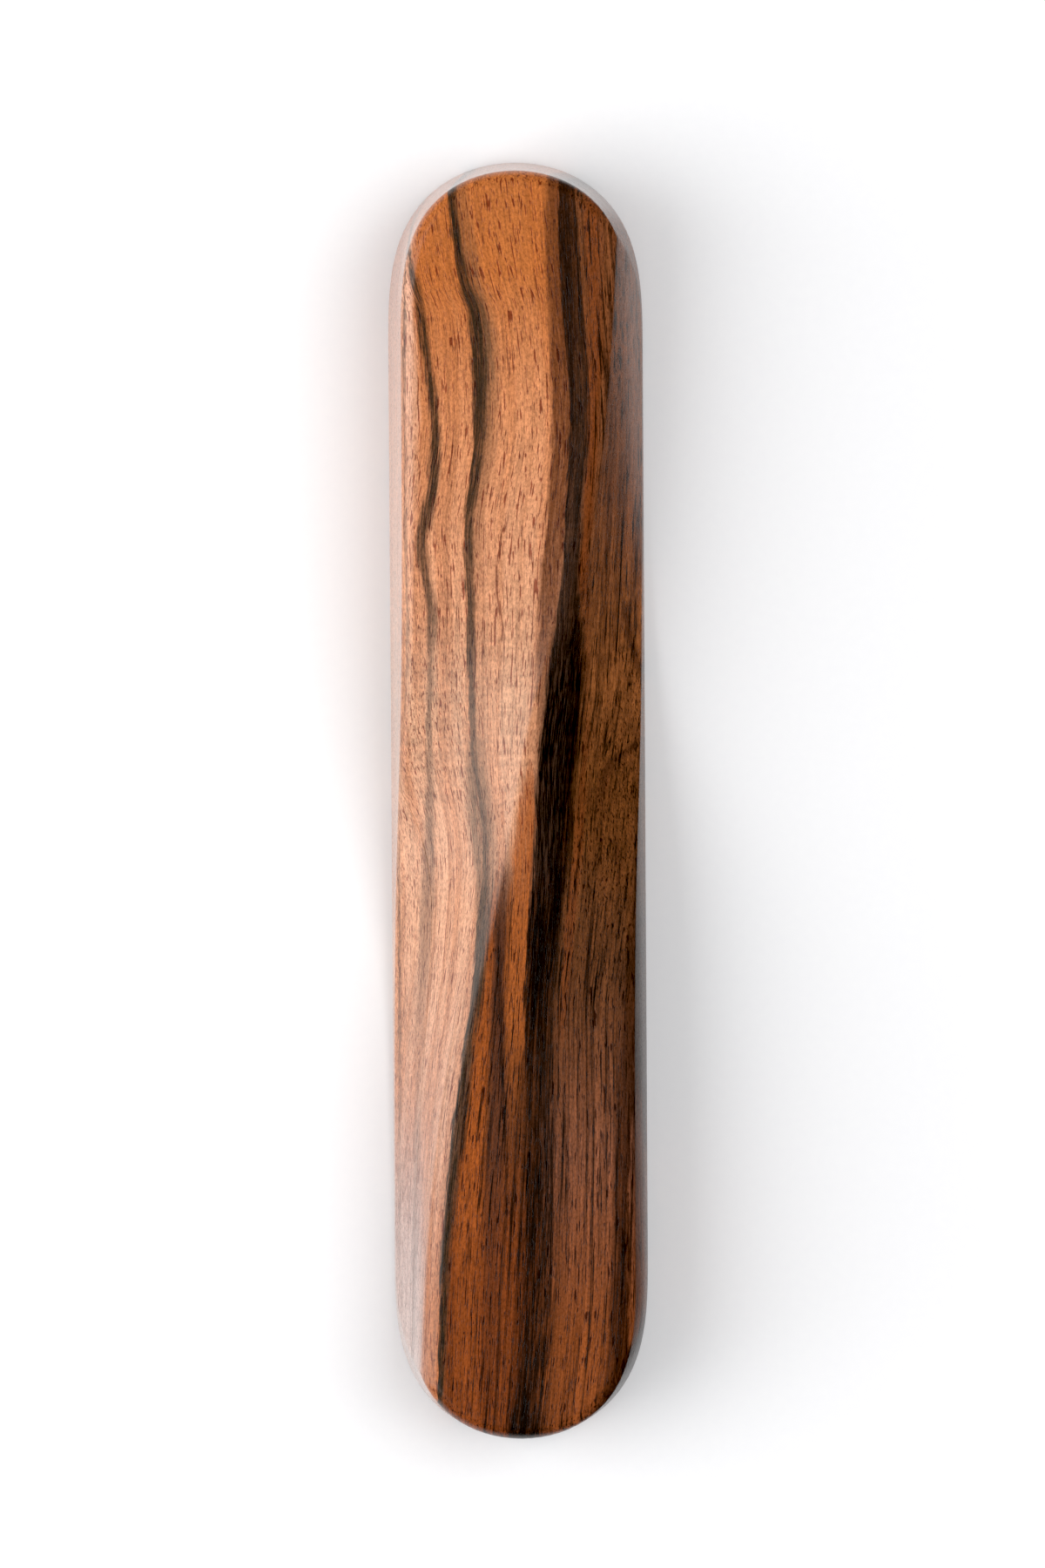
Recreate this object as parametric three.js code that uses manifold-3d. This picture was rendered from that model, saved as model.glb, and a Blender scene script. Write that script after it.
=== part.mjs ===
// A hardwood case for one dip pen: a long block with rounded ends, carved on top into two faces that
// twist into each other along a diagonal ridge. The block is split level into a tray and a lid. The lid
// swings sideways on a shoulder screw hidden at one end, and two pairs of magnets hold it shut at the
// other. The pen lies on two rests, all of it below the split, so the lid passes over it.
//
// Millimetres. X across the case, Y along it towards the pivot, Z up from the surface it rests on.

import * as THREE from "three";
import { mergeVertices } from "three/addons/utils/BufferGeometryUtils.js";
import Module from "manifold-3d";

const wasm = await Module();
wasm.setup();

// ---------------------------------------------------------------- driving dimensions

const LENGTH = 220;
const WIDTH = 44;
const TOP_HEIGHT = 25; // of the flat ends of the two faces; the ridge between them rises a little higher
const UNDERSIDE = 0.5; // the wood stands this far off the surface, on its sole pad
const PARTING = 15; // top face of the tray
const SEAM = 0.1; // between tray and lid, set by the thrust washer
const GLUE = 0.05; // between a piece and what it is glued to, pressed into or turns against

const OUTLINE = { endReach: 33, endPower: 3.3 }; // each rounded end is a superellipse this long
const WALL_DRAFT = THREE.MathUtils.degToRad(6.5);
const ROUNDING = { ridge: 3.5, rim: 2.5, foot: 0.8 };

// Each face lies flat at its own end and twists until it is nearly a side wall at the other.
const FACE = {
  lowEdge: 3, // height of its outer edge where it is steepest
  edgeSpread: 13.5, // how gradually the outer edge comes down from the top
  slopeRate: 0.0425, // gain in slope per millimetre, once it twists
  slopeStart: 7, // where it starts to twist
  slopeSpread: 16, // how gradually the twist starts
};

const TROUGH = { halfWidth: 7.5, near: -102, far: 82, floor: 3.4, corner: 1.6 };
const SCOOP = { y: 0, radius: 15, centre: 22 }; // the finger scoop is part of a sphere
const LINING = { thickness: 0.8, margin: 1.7 };
const LID_RECESS = { halfWidth: 7.5, near: -100, far: 80, depth: 1.3 };
const LID_LINING_INSET = 0.1;
const SOLE = { inset: 4, recess: 0.7, accessRadius: 7 };

const REST = { halfWidth: 7.3, chamfer: 1.5, length: 6, top: 9.5, notchRadius: 4.6, notchCentre: 10.2 };
const REST_PLACES = { nib_rest: -58, tail_rest: 40 };
const REST_GAP = 0.2; // between a rest and the lining on either side of it

const MAGNET = { radius: 3, thickness: 3, x: 12.2, y: -84, sunk: 0.1 };

const PIVOT_Y = 96;
const SCREW = {
  headRadius: 5,
  headBottom: 1.4,
  headTop: 3.4,
  slotWidth: 1.2,
  slotDepth: 0.9,
  shoulderRadius: 3,
  threadRadius: 1.95,
  tip: 21,
};
const WASHER = { outer: 5.7, inner: 3.15, thickness: 0.5 };
const SPRING = { outer: 5.3, inner: 3.3, strip: 0.3, height: 0.9, waves: 3 };
const BUSH = { outer: 4, inner: 3.08, flangeRadius: 5.9, flangeThickness: 1 };
const COUNTERBORE = { radius: 6.2, ceiling: 6 };
const THRUST = { outer: 8, inner: 3.2, thickness: 0.6 };
const INSERT = { outer: 4, neck: 3.6, inner: 2.05, length: 6.5, barbs: 3 };
const STOP = { radius: 1.25, orbit: 10.6, swing: Math.PI, bottom: 8, top: 17.7, play: 0.35 };
const GROOVE_CEILING = 18.2;

const ROUND = 36; // sides of a turned piece
const SMALL_ROUND = 24;
const BEYOND = 5; // how far a cutting tool runs past the face it cuts

// ---------------------------------------------------------------- materials

function material(color, roughness, metalness = 0) {
  return new THREE.MeshStandardMaterial({ color, roughness, metalness });
}
const WOOD = material(0x8a4f2a, 0.35);
const EBONY = material(0x2b211c, 0.4);
const FELT = material(0x24382c, 0.95);
const CORK = material(0xa8794c, 0.85);
const BRASS = material(0xb8923f, 0.3, 1);
const STEEL = material(0x9a9da0, 0.35, 1);
const NICKEL = material(0xbcbab4, 0.2, 1);
const NYLON = material(0xe8e4d8, 0.5);

// ---------------------------------------------------------------- the carved form

const HALF_WIDTH = WIDTH / 2;
const SPINE_END = LENGTH / 2 - OUTLINE.endReach; // the rounded ends start here
const SPINE_HEIGHT = 10;
const softplus = (v) => Math.log(1 + Math.exp(v));
const sigmoid = (v) => 1 / (1 + Math.exp(-v));

// How far a point lies outside the plan outline, and the outward direction there.
function planWall(x, y) {
  const across = x / HALF_WIDTH;
  const along = Math.max(Math.abs(y) - SPINE_END, 0) / OUTLINE.endReach;
  const level = Math.max(Math.hypot(across, along ** (OUTLINE.endPower / 2)), 1e-6);
  const gx = across / (level * HALF_WIDTH);
  const gy = ((OUTLINE.endPower / 2) * along ** (OUTLINE.endPower - 1)) / (level * OUTLINE.endReach);
  const steepness = Math.max(Math.hypot(gx, gy), 1e-6);
  return { distance: (level - 1) / steepness, nx: gx / steepness, ny: (Math.sign(y) * gy) / steepness };
}

// The side wall leans in by its draft.
function sideWall(x, y, z) {
  const plan = planWall(x, y);
  const lean = (z - UNDERSIDE) * Math.tan(WALL_DRAFT);
  const cos = Math.cos(WALL_DRAFT);
  return {
    distance: (plan.distance + lean) * cos,
    normal: [plan.nx * cos, plan.ny * cos, Math.sin(WALL_DRAFT)],
  };
}

// The face that twists down to the left as y falls.
function leftFace(x, y, z) {
  const twisted = softplus((FACE.slopeStart - y) / FACE.slopeSpread) * FACE.slopeSpread;
  const tilt = Math.atan(FACE.slopeRate * twisted);
  const edgeHeight = FACE.lowEdge + (TOP_HEIGHT - FACE.lowEdge) * sigmoid(y / FACE.edgeSpread);
  const edgeX = -HALF_WIDTH + (edgeHeight - UNDERSIDE) * Math.tan(WALL_DRAFT);
  const distance = (z - edgeHeight) * Math.cos(tilt) - (x - edgeX) * Math.sin(tilt);
  return { distance, normal: [-Math.sin(tilt), 0, Math.cos(tilt)] };
}

// The other face is the same one turned half round about Z.
function rightFace(x, y, z) {
  const { distance, normal } = leftFace(-x, -y, z);
  return { distance, normal: [-normal[0], 0, normal[2]] };
}

// Where two surfaces meet, with the edge between them rounded to a radius. Along the rounding, the
// outward direction turns from one surface's to the other's.
function meet(a, b, radius) {
  const alignment = a.normal[0] * b.normal[0] + a.normal[1] * b.normal[1] + a.normal[2] * b.normal[2];
  const r = radius * Math.max(1 - alignment, 0);
  const shareA = Math.max(a.distance + r, 0);
  const shareB = Math.max(b.distance + r, 0);
  const rounding = Math.hypot(shareA, shareB);
  const distance = Math.min(Math.max(a.distance, b.distance), -r) + rounding;
  if (shareA * shareB === 0) {
    return { distance, normal: a.distance > b.distance ? a.normal : b.normal };
  }
  const turned = [0, 1, 2].map((i) => a.normal[i] * shareA + b.normal[i] * shareB);
  const length = Math.hypot(...turned);
  return { distance, normal: turned.map((v) => v / length) };
}

function carvedForm(x, y, z) {
  const top = meet(leftFace(x, y, z), rightFace(x, y, z), ROUNDING.ridge);
  const sides = meet(top, sideWall(x, y, z), ROUNDING.rim);
  const foot = { distance: UNDERSIDE - z, normal: [0, 0, -1] };
  return meet(sides, foot, ROUNDING.foot).distance;
}

// How far from start, along direction, a signed distance crosses zero.
function reach(start, direction, distanceAt) {
  let inside = 0;
  let outside = LENGTH;
  for (let step = 0; step < 40; step++) {
    const middle = (inside + outside) / 2;
    const point = start.map((v, i) => v + direction[i] * middle);
    if (distanceAt(...point) < 0) inside = middle;
    else outside = middle;
  }
  return start.map((v, i) => v + direction[i] * inside);
}

// Stations round the outline: up one side of the spine, round its end, down the other side and round again.
const SIDE_STEPS = 26;
const END_STEPS = 16;
function stations() {
  const found = [];
  for (const turn of [0, Math.PI]) {
    const sign = turn === 0 ? 1 : -1;
    for (let i = 0; i < SIDE_STEPS; i++) {
      found.push({ spineY: sign * SPINE_END * ((2 * i) / SIDE_STEPS - 1), heading: turn });
    }
    for (let i = 0; i < END_STEPS; i++) {
      found.push({ spineY: sign * SPINE_END, heading: turn + (Math.PI * i) / END_STEPS });
    }
  }
  return found;
}

// The section at a station, from below the spine round to above it. Its points lie closer together
// where it turns.
const SECTION_STEPS = 18;
const FINE_STEPS = 180;
const TURN_WEIGHT = 20; // a turn of one radian counts as this many millimetres of length
function section({ spineY, heading }) {
  const surfacePoint = (elevation) => {
    const flat = Math.cos(elevation);
    const direction = [flat * Math.cos(heading), flat * Math.sin(heading), Math.sin(elevation)];
    return new THREE.Vector3(...reach([0, spineY, SPINE_HEIGHT], direction, carvedForm));
  };
  const elevation = (i) => Math.PI * (i / FINE_STEPS - 0.5);
  const fine = Array.from({ length: FINE_STEPS + 1 }, (_, i) => surfacePoint(elevation(i)));
  const measure = [0];
  for (let i = 1; i < fine.length; i++) {
    const step = fine[i].clone().sub(fine[i - 1]);
    const next = fine[Math.min(i + 1, FINE_STEPS)].clone().sub(fine[i]);
    const turn = next.length() > 0 ? step.angleTo(next) : 0;
    measure.push(measure[i - 1] + step.length() + TURN_WEIGHT * turn);
  }
  return Array.from({ length: SECTION_STEPS + 1 }, (_, j) => {
    const target = (measure[FINE_STEPS] * j) / SECTION_STEPS;
    const found = measure.findIndex((m) => m > target);
    const after = found < 0 ? FINE_STEPS : found;
    const part = (target - measure[after - 1]) / (measure[after] - measure[after - 1]);
    return surfacePoint(elevation(after - 1 + part));
  });
}

function carvedBlock() {
  const places = stations();
  const sections = places.map(section);
  const positions = [];
  const ids = new Map();
  // A section's first and last points are on the spine, and stations that share a spine point share them.
  const vertex = (i, j) => {
    const station = i % places.length;
    const onSpine = j === 0 || j === SECTION_STEPS;
    const key = onSpine ? `${j} ${places[station].spineY.toFixed(6)}` : `${j} at ${station}`;
    if (!ids.has(key)) {
      ids.set(key, positions.length / 3);
      positions.push(...sections[station][j].toArray());
    }
    return ids.get(key);
  };
  const index = [];
  const triangle = (a, b, c) => {
    if (a !== b && b !== c && c !== a) index.push(a, b, c);
  };
  for (let i = 0; i < places.length; i++) {
    for (let j = 0; j < SECTION_STEPS; j++) {
      triangle(vertex(i, j), vertex(i + 1, j), vertex(i + 1, j + 1));
      triangle(vertex(i, j), vertex(i + 1, j + 1), vertex(i, j + 1));
    }
  }
  const geometry = new THREE.BufferGeometry();
  geometry.setAttribute("position", new THREE.Float32BufferAttribute(positions, 3));
  geometry.setIndex(index);
  return geometry;
}

// ---------------------------------------------------------------- solids, cuts and joins

function solid(geometry) {
  const bare = geometry.clone();
  bare.deleteAttribute("normal");
  bare.deleteAttribute("uv");
  const merged = mergeVertices(bare, 1e-4);
  return new wasm.Manifold(
    new wasm.Mesh({
      numProp: 3,
      vertProperties: new Float32Array(merged.attributes.position.array),
      triVerts: new Uint32Array(merged.index.array),
    }),
  );
}

function geometryOf(manifold) {
  const { vertProperties, triVerts } = manifold.getMesh();
  const geometry = new THREE.BufferGeometry();
  geometry.setAttribute("position", new THREE.BufferAttribute(vertProperties, 3));
  geometry.setIndex(new THREE.BufferAttribute(triVerts, 1));
  geometry.computeVertexNormals();
  return geometry;
}

function cut(body, ...tools) {
  return tools.reduce((left, tool) => left.subtract(solid(tool)), body);
}

// A cylinder standing on Z, between two heights.
function post(radius, bottom, top, x, y, sides = ROUND) {
  return new THREE.CylinderGeometry(radius, radius, top - bottom, sides)
    .rotateX(Math.PI / 2)
    .translate(x, y, (bottom + top) / 2);
}

// A piece turned about the pivot's axis, from its half section as [radius, height] pairs.
function turned(section, sides = ROUND) {
  const points = section.map(([radius, height]) => new THREE.Vector2(radius, height));
  return new THREE.LatheGeometry(points, sides).rotateX(Math.PI / 2).translate(0, PIVOT_Y, 0);
}

function ring(inner, outer, bottom, top) {
  return turned([
    [inner, bottom],
    [outer, bottom],
    [outer, top],
    [inner, top],
    [inner, bottom],
  ]);
}

// A long pocket with round ends, as a plan outline.
function slotShape({ halfWidth, near, far }, inset = 0) {
  const radius = halfWidth - inset;
  const shape = new THREE.Shape();
  shape.absarc(0, near + halfWidth, radius, Math.PI, 2 * Math.PI);
  shape.absarc(0, far - halfWidth, radius, 0, Math.PI);
  return shape;
}

function slab(shape, bottom, top, curveSegments = 12) {
  const settings = { depth: top - bottom, bevelEnabled: false, curveSegments };
  return new THREE.ExtrudeGeometry(shape, settings).translate(0, 0, bottom);
}

// A cutter for the trough, with a rounded corner round its floor.
function troughCutter() {
  const { floor, corner } = TROUGH;
  const round = { bevelSize: corner, bevelThickness: corner, bevelSegments: 3, curveSegments: 12 };
  const depth = PARTING + BEYOND - floor - corner;
  const cutter = new THREE.ExtrudeGeometry(slotShape(TROUGH, corner), { depth, ...round });
  return cutter.translate(0, 0, floor + corner);
}

// The plan outline of the block, drawn in by an inset.
function insetOutline(inset) {
  const distance = (x, y) => planWall(x, y).distance + inset;
  const points = stations().map(({ spineY, heading }) =>
    reach([0, spineY], [Math.cos(heading), Math.sin(heading)], distance),
  );
  return new THREE.Shape(points.map(([x, y]) => new THREE.Vector2(x, y)));
}

// ---------------------------------------------------------------- pieces

const LID_BOTTOM = PARTING + SEAM;
const LID_RECESS_TOP = LID_BOTTOM + LID_RECESS.depth;
const TROUGH_BED = TROUGH.floor + GLUE; // what is glued to the trough's floor starts here
const FLANGE_BOTTOM = COUNTERBORE.ceiling - GLUE - BUSH.flangeThickness;
const THRUST_BOTTOM = LID_BOTTOM - GLUE - THRUST.thickness;

function layer(bottom, top) {
  const box = new THREE.BoxGeometry(2 * WIDTH, 2 * LENGTH, top - bottom);
  return solid(box.translate(0, 0, (bottom + top) / 2));
}

function trayBody(block) {
  const scoop = new THREE.SphereGeometry(SCOOP.radius, 40, 24).rotateX(Math.PI / 2);
  return cut(
    block.intersect(layer(-BEYOND, PARTING)),
    troughCutter(),
    scoop.translate(0, SCOOP.y, SCOOP.centre),
    slab(insetOutline(SOLE.inset - GLUE), UNDERSIDE - BEYOND, UNDERSIDE + SOLE.recess),
    post(COUNTERBORE.radius, 0, COUNTERBORE.ceiling, 0, PIVOT_Y),
    post(BUSH.outer + GLUE, 0, PARTING + BEYOND, 0, PIVOT_Y),
    post(THRUST.outer + 2 * GLUE, THRUST_BOTTOM - GLUE, PARTING + BEYOND, 0, PIVOT_Y),
    post(STOP.radius + GLUE, STOP.bottom - GLUE, PARTING + BEYOND, STOP.orbit, PIVOT_Y, SMALL_ROUND),
    ...magnetPockets(PARTING - MAGNET.sunk - MAGNET.thickness - GLUE, PARTING + BEYOND),
  );
}

function lidBody(block) {
  return cut(
    block.intersect(layer(LID_BOTTOM, 2 * TOP_HEIGHT)),
    slab(slotShape(LID_RECESS), LID_BOTTOM - BEYOND, LID_RECESS_TOP),
    post(INSERT.outer + GLUE, 0, LID_BOTTOM + INSERT.length + 2 * GLUE, 0, PIVOT_Y),
    stopGroove(),
    ...magnetPockets(0, LID_BOTTOM + MAGNET.sunk + MAGNET.thickness + GLUE),
  );
}

function magnetPockets(bottom, top) {
  const radius = MAGNET.radius + GLUE;
  return [-1, 1].map((side) => post(radius, bottom, top, side * MAGNET.x, MAGNET.y, SMALL_ROUND));
}

function magnet(side, bottom) {
  return post(MAGNET.radius, bottom, bottom + MAGNET.thickness, side * MAGNET.x, MAGNET.y, SMALL_ROUND);
}

// The stop pin runs in this arc in the lid, from its end at +X, past the side nearer the trough,
// to its end at -X.
function stopGroove() {
  const half = STOP.radius + STOP.play;
  const from = -STOP.swing;
  const shape = new THREE.Shape();
  shape.absarc(0, 0, STOP.orbit + half, from, 0);
  shape.absarc(STOP.orbit, 0, half, 0, Math.PI);
  shape.absarc(0, 0, STOP.orbit - half, 0, from, true);
  const end = { x: STOP.orbit * Math.cos(from), y: STOP.orbit * Math.sin(from) };
  shape.absarc(end.x, end.y, half, from + Math.PI, from + 2 * Math.PI);
  return slab(shape, LID_BOTTOM - BEYOND, GROOVE_CEILING, 20).translate(0, PIVOT_Y, 0);
}

function solePad() {
  const pad = solid(slab(insetOutline(SOLE.inset), 0, UNDERSIDE + SOLE.recess - GLUE));
  return cut(pad, post(SOLE.accessRadius, -BEYOND, BEYOND, 0, PIVOT_Y));
}

// The trough's lining, one length of it: it is cut where the rests stand.
function troughLining(from, to) {
  const whole = slab(slotShape(TROUGH, LINING.margin), TROUGH_BED, TROUGH_BED + LINING.thickness);
  const stretch = new THREE.BoxGeometry(WIDTH, to - from, WIDTH).translate(0, (from + to) / 2, 0);
  return solid(whole).intersect(solid(stretch));
}

function lidLining() {
  const top = LID_RECESS_TOP - GLUE;
  return slab(slotShape(LID_RECESS, LID_LINING_INSET), top - LINING.thickness, top);
}

// A saddle across the trough, notched for the barrel of the pen.
function penRest(y) {
  const { halfWidth, chamfer, length, top, notchRadius, notchCentre } = REST;
  const lip = Math.acos((top - notchCentre) / notchRadius);
  const shape = new THREE.Shape();
  shape.moveTo(-halfWidth + chamfer, TROUGH_BED);
  shape.lineTo(halfWidth - chamfer, TROUGH_BED);
  shape.lineTo(halfWidth, TROUGH_BED + chamfer);
  shape.lineTo(halfWidth, top);
  shape.absarc(0, notchCentre, notchRadius, Math.PI / 2 - lip, Math.PI / 2 + lip, true);
  shape.lineTo(-halfWidth, top);
  shape.lineTo(-halfWidth, TROUGH_BED + chamfer);
  return new THREE.ExtrudeGeometry(shape, { depth: length, bevelEnabled: false, curveSegments: 16 })
    .rotateX(Math.PI / 2)
    .translate(0, y + length / 2, 0);
}

function pivotScrew() {
  const { headRadius, headBottom, headTop, shoulderRadius, threadRadius, tip } = SCREW;
  const shoulderTop = LID_BOTTOM - GLUE;
  const chamfer = 0.4;
  const screw = turned([
    [0, headBottom],
    [headRadius - chamfer, headBottom],
    [headRadius, headBottom + chamfer],
    [headRadius, headTop],
    [shoulderRadius, headTop],
    [shoulderRadius, shoulderTop],
    [threadRadius, shoulderTop],
    [threadRadius, tip - chamfer],
    [threadRadius - chamfer, tip],
    [0, tip],
  ]);
  const slot = new THREE.BoxGeometry(3 * headRadius, SCREW.slotWidth, 2 * SCREW.slotDepth);
  return cut(solid(screw), slot.translate(0, PIVOT_Y, headBottom));
}

// A flat ring bent into waves round its circumference.
function waveSpring(bottom) {
  const swell = (SPRING.height - SPRING.strip) / 2;
  const geometry = ring(SPRING.inner, SPRING.outer, bottom + swell, bottom + swell + SPRING.strip);
  const position = geometry.attributes.position;
  for (let i = 0; i < position.count; i++) {
    const angle = Math.atan2(position.getY(i) - PIVOT_Y, position.getX(i));
    position.setZ(i, position.getZ(i) + swell * Math.cos(SPRING.waves * angle));
  }
  return geometry;
}

function pivotBush() {
  const { outer, inner, flangeRadius, flangeThickness } = BUSH;
  const shelf = FLANGE_BOTTOM + flangeThickness;
  const top = THRUST_BOTTOM - GLUE;
  return turned([
    [inner, FLANGE_BOTTOM],
    [flangeRadius, FLANGE_BOTTOM],
    [flangeRadius, shelf],
    [outer, shelf],
    [outer, top],
    [inner, top],
    [inner, FLANGE_BOTTOM],
  ]);
}

// The insert that the screw's thread holds, with barbs that grip the wood.
function lidInsert() {
  const bottom = LID_BOTTOM + GLUE;
  const pitch = INSERT.length / INSERT.barbs;
  const section = [[INSERT.inner, bottom]];
  for (let i = 0; i < INSERT.barbs; i++) {
    section.push([INSERT.outer, bottom + pitch * i]);
    section.push([INSERT.outer, bottom + pitch * (i + 0.35)]);
    section.push([INSERT.neck, bottom + pitch * (i + 1)]);
  }
  section.push([INSERT.inner, bottom + INSERT.length], [INSERT.inner, bottom]);
  return turned(section);
}

// ---------------------------------------------------------------- the assembly

const root = new THREE.Group();

function add(name, shape, look) {
  const mesh = new THREE.Mesh(shape.isBufferGeometry ? shape : geometryOf(shape), look);
  mesh.name = name;
  root.add(mesh);
}

const block = solid(carvedBlock());
add("tray_body", trayBody(block), WOOD);
add("lid_body", lidBody(block), WOOD);
add("sole_pad", solePad(), CORK);
add("lid_lining", lidLining(), FELT);
add("nib_rest", penRest(REST_PLACES.nib_rest), EBONY);
add("tail_rest", penRest(REST_PLACES.tail_rest), EBONY);

const restReach = REST.length / 2 + REST_GAP;
add("nib_end_lining", troughLining(TROUGH.near, REST_PLACES.nib_rest - restReach), FELT);
const betweenRests = [REST_PLACES.nib_rest + restReach, REST_PLACES.tail_rest - restReach];
add("middle_lining", troughLining(...betweenRests), FELT);
add("tail_end_lining", troughLining(REST_PLACES.tail_rest + restReach, TROUGH.far), FELT);

for (const [name, side] of [["left", -1], ["right", 1]]) {
  add(`tray_magnet_${name}`, magnet(side, PARTING - MAGNET.sunk - MAGNET.thickness), NICKEL);
  add(`lid_magnet_${name}`, magnet(side, LID_BOTTOM + MAGNET.sunk), NICKEL);
}

add("pivot_screw", pivotScrew(), BRASS);
const washerBottom = SCREW.headTop + GLUE;
const springBottom = washerBottom + WASHER.thickness + GLUE;
const washerTop = washerBottom + WASHER.thickness;
add("screw_washer", ring(WASHER.inner, WASHER.outer, washerBottom, washerTop), BRASS);
add("wave_spring", waveSpring(springBottom), STEEL);
add("pivot_bush", pivotBush(), BRASS);
const thrustTop = THRUST_BOTTOM + THRUST.thickness;
add("thrust_washer", ring(THRUST.inner, THRUST.outer, THRUST_BOTTOM, thrustTop), NYLON);
add("lid_insert", lidInsert(), BRASS);
add("stop_pin", post(STOP.radius, STOP.bottom, STOP.top, STOP.orbit, PIVOT_Y, SMALL_ROUND), STEEL);

export default root;
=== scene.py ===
"""The looks of a hardwood dip pen case: a tray and a lid carved from one striped block, and what is inside.

The form constants are those of the CAD part. The pieces are worked out in millimetres and in the CAD's own
frame: X across the case, Y along it towards the lid's pivot, Z up. They are turned into metres where a mesh
is made. The floor, the lights and the camera are in metres.
"""

import math

import bmesh
import bpy
import numpy as np
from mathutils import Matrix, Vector

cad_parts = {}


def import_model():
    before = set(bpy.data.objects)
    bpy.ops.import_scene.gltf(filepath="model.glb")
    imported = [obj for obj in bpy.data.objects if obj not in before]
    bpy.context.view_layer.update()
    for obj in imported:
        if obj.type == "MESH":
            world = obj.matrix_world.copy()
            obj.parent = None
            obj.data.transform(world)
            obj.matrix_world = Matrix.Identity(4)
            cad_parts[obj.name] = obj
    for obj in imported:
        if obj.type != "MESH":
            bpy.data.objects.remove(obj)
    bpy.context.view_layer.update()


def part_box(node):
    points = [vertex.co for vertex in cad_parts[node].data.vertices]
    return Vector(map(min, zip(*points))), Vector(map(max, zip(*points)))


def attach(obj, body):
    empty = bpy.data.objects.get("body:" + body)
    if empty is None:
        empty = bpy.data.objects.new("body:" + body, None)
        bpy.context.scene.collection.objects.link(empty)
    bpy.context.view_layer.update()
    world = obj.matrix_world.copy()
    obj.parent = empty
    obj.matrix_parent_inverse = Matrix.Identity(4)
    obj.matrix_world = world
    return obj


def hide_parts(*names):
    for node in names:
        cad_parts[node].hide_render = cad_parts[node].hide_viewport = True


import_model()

MM = 0.001

# ---- the carved form, as in the CAD part

LENGTH = 220
WIDTH = 44
TOP_HEIGHT = 25
UNDERSIDE = 0.5
END_REACH = 33
END_POWER = 3.3
WALL_DRAFT = math.radians(6.5)
ROUNDING = {"ridge": 3.5, "rim": 2.5, "foot": 0.8}
LOW_EDGE = 3
EDGE_SPREAD = 13.5
SLOPE_RATE = 0.0425
SLOPE_START = 7
SLOPE_SPREAD = 16

CLEARANCE = 0.05
HALF_WIDTH = WIDTH / 2
SPINE_END = LENGTH / 2 - END_REACH
SPINE_HEIGHT = 10
BEYOND = 5  # how far a cutting tool runs past the face it cuts
SKIN = 0.02  # how far this form lies inside the CAD's, so that its finer mesh stays within the CAD's box
NO_RADIUS = 1e-3  # stands for a radius of nought, so that a sharp corner still has all its points


def span(node):
    """The lowest and highest corner of a CAD node, in millimetres."""
    low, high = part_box(node)
    return np.array(low) / MM, np.array(high) / MM


def centre_of(node):
    low, high = span(node)
    return (low[:2] + high[:2]) / 2


def radius_of(node):
    low, high = span(node)
    return (high[0] - low[0]) / 2


def under(node):
    """The floor of the recess that a node stands in."""
    return span(node)[0][2] - CLEARANCE


def above(node):
    """The ceiling of the recess over a node."""
    return span(node)[1][2] + CLEARANCE


def plan_wall(x, y):
    """How far a point lies outside the plan outline, and the outward direction there."""
    across = x / HALF_WIDTH
    along = np.maximum(np.abs(y) - SPINE_END, 0) / END_REACH
    level = np.maximum(np.hypot(across, along ** (END_POWER / 2)), 1e-6)
    gx = across / (level * HALF_WIDTH)
    gy = END_POWER / 2 * along ** (END_POWER - 1) / (level * END_REACH)
    steepness = np.maximum(np.hypot(gx, gy), 1e-6)
    return (level - 1) / steepness, gx / steepness, np.sign(y) * gy / steepness


def side_wall(x, y, z):
    distance, nx, ny = plan_wall(x, y)
    cos, sin = math.cos(WALL_DRAFT), math.sin(WALL_DRAFT)
    lean = (z - UNDERSIDE) * math.tan(WALL_DRAFT)
    return (distance + lean) * cos, np.stack([nx * cos, ny * cos, np.full_like(nx, sin)])


def left_face(x, y, z):
    """The face that twists down to the left as y falls."""
    tilt = np.arctan(SLOPE_RATE * SLOPE_SPREAD * np.logaddexp(0, (SLOPE_START - y) / SLOPE_SPREAD))
    edge_height = LOW_EDGE + (TOP_HEIGHT - LOW_EDGE) / (1 + np.exp(-y / EDGE_SPREAD))
    edge_x = -HALF_WIDTH + (edge_height - UNDERSIDE) * math.tan(WALL_DRAFT)
    distance = (z - edge_height) * np.cos(tilt) - (x - edge_x) * np.sin(tilt)
    return distance, np.stack([-np.sin(tilt), np.zeros_like(tilt), np.cos(tilt)])


def right_face(x, y, z):
    distance, normal = left_face(-x, -y, z)
    return distance, normal * np.array([-1, 1, 1]).reshape(3, *[1] * (normal.ndim - 1))


def meet(a, b, radius):
    """Where two surfaces meet, with their edge rounded. The direction turns along the rounding."""
    r = radius * np.maximum(1 - (a[1] * b[1]).sum(0), 0)
    share_a, share_b = np.maximum(a[0] + r, 0), np.maximum(b[0] + r, 0)
    distance = np.minimum(np.maximum(a[0], b[0]), -r) + np.hypot(share_a, share_b)
    turned = a[1] * share_a + b[1] * share_b
    turned = turned / np.maximum(np.sqrt((turned**2).sum(0)), 1e-9)
    nearer = np.where(a[0] > b[0], a[1], b[1])
    return distance, np.where(share_a * share_b > 0, turned, nearer)


def carved_form(x, y, z):
    """How far a point lies outside the carved block."""
    top = meet(left_face(x, y, z), right_face(x, y, z), ROUNDING["ridge"])
    sides = meet(top, side_wall(x, y, z), ROUNDING["rim"])
    down = np.stack([np.zeros_like(z), np.zeros_like(z), -np.ones_like(z)])
    return meet(sides, (UNDERSIDE - z, down), ROUNDING["foot"])[0] + SKIN


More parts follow.
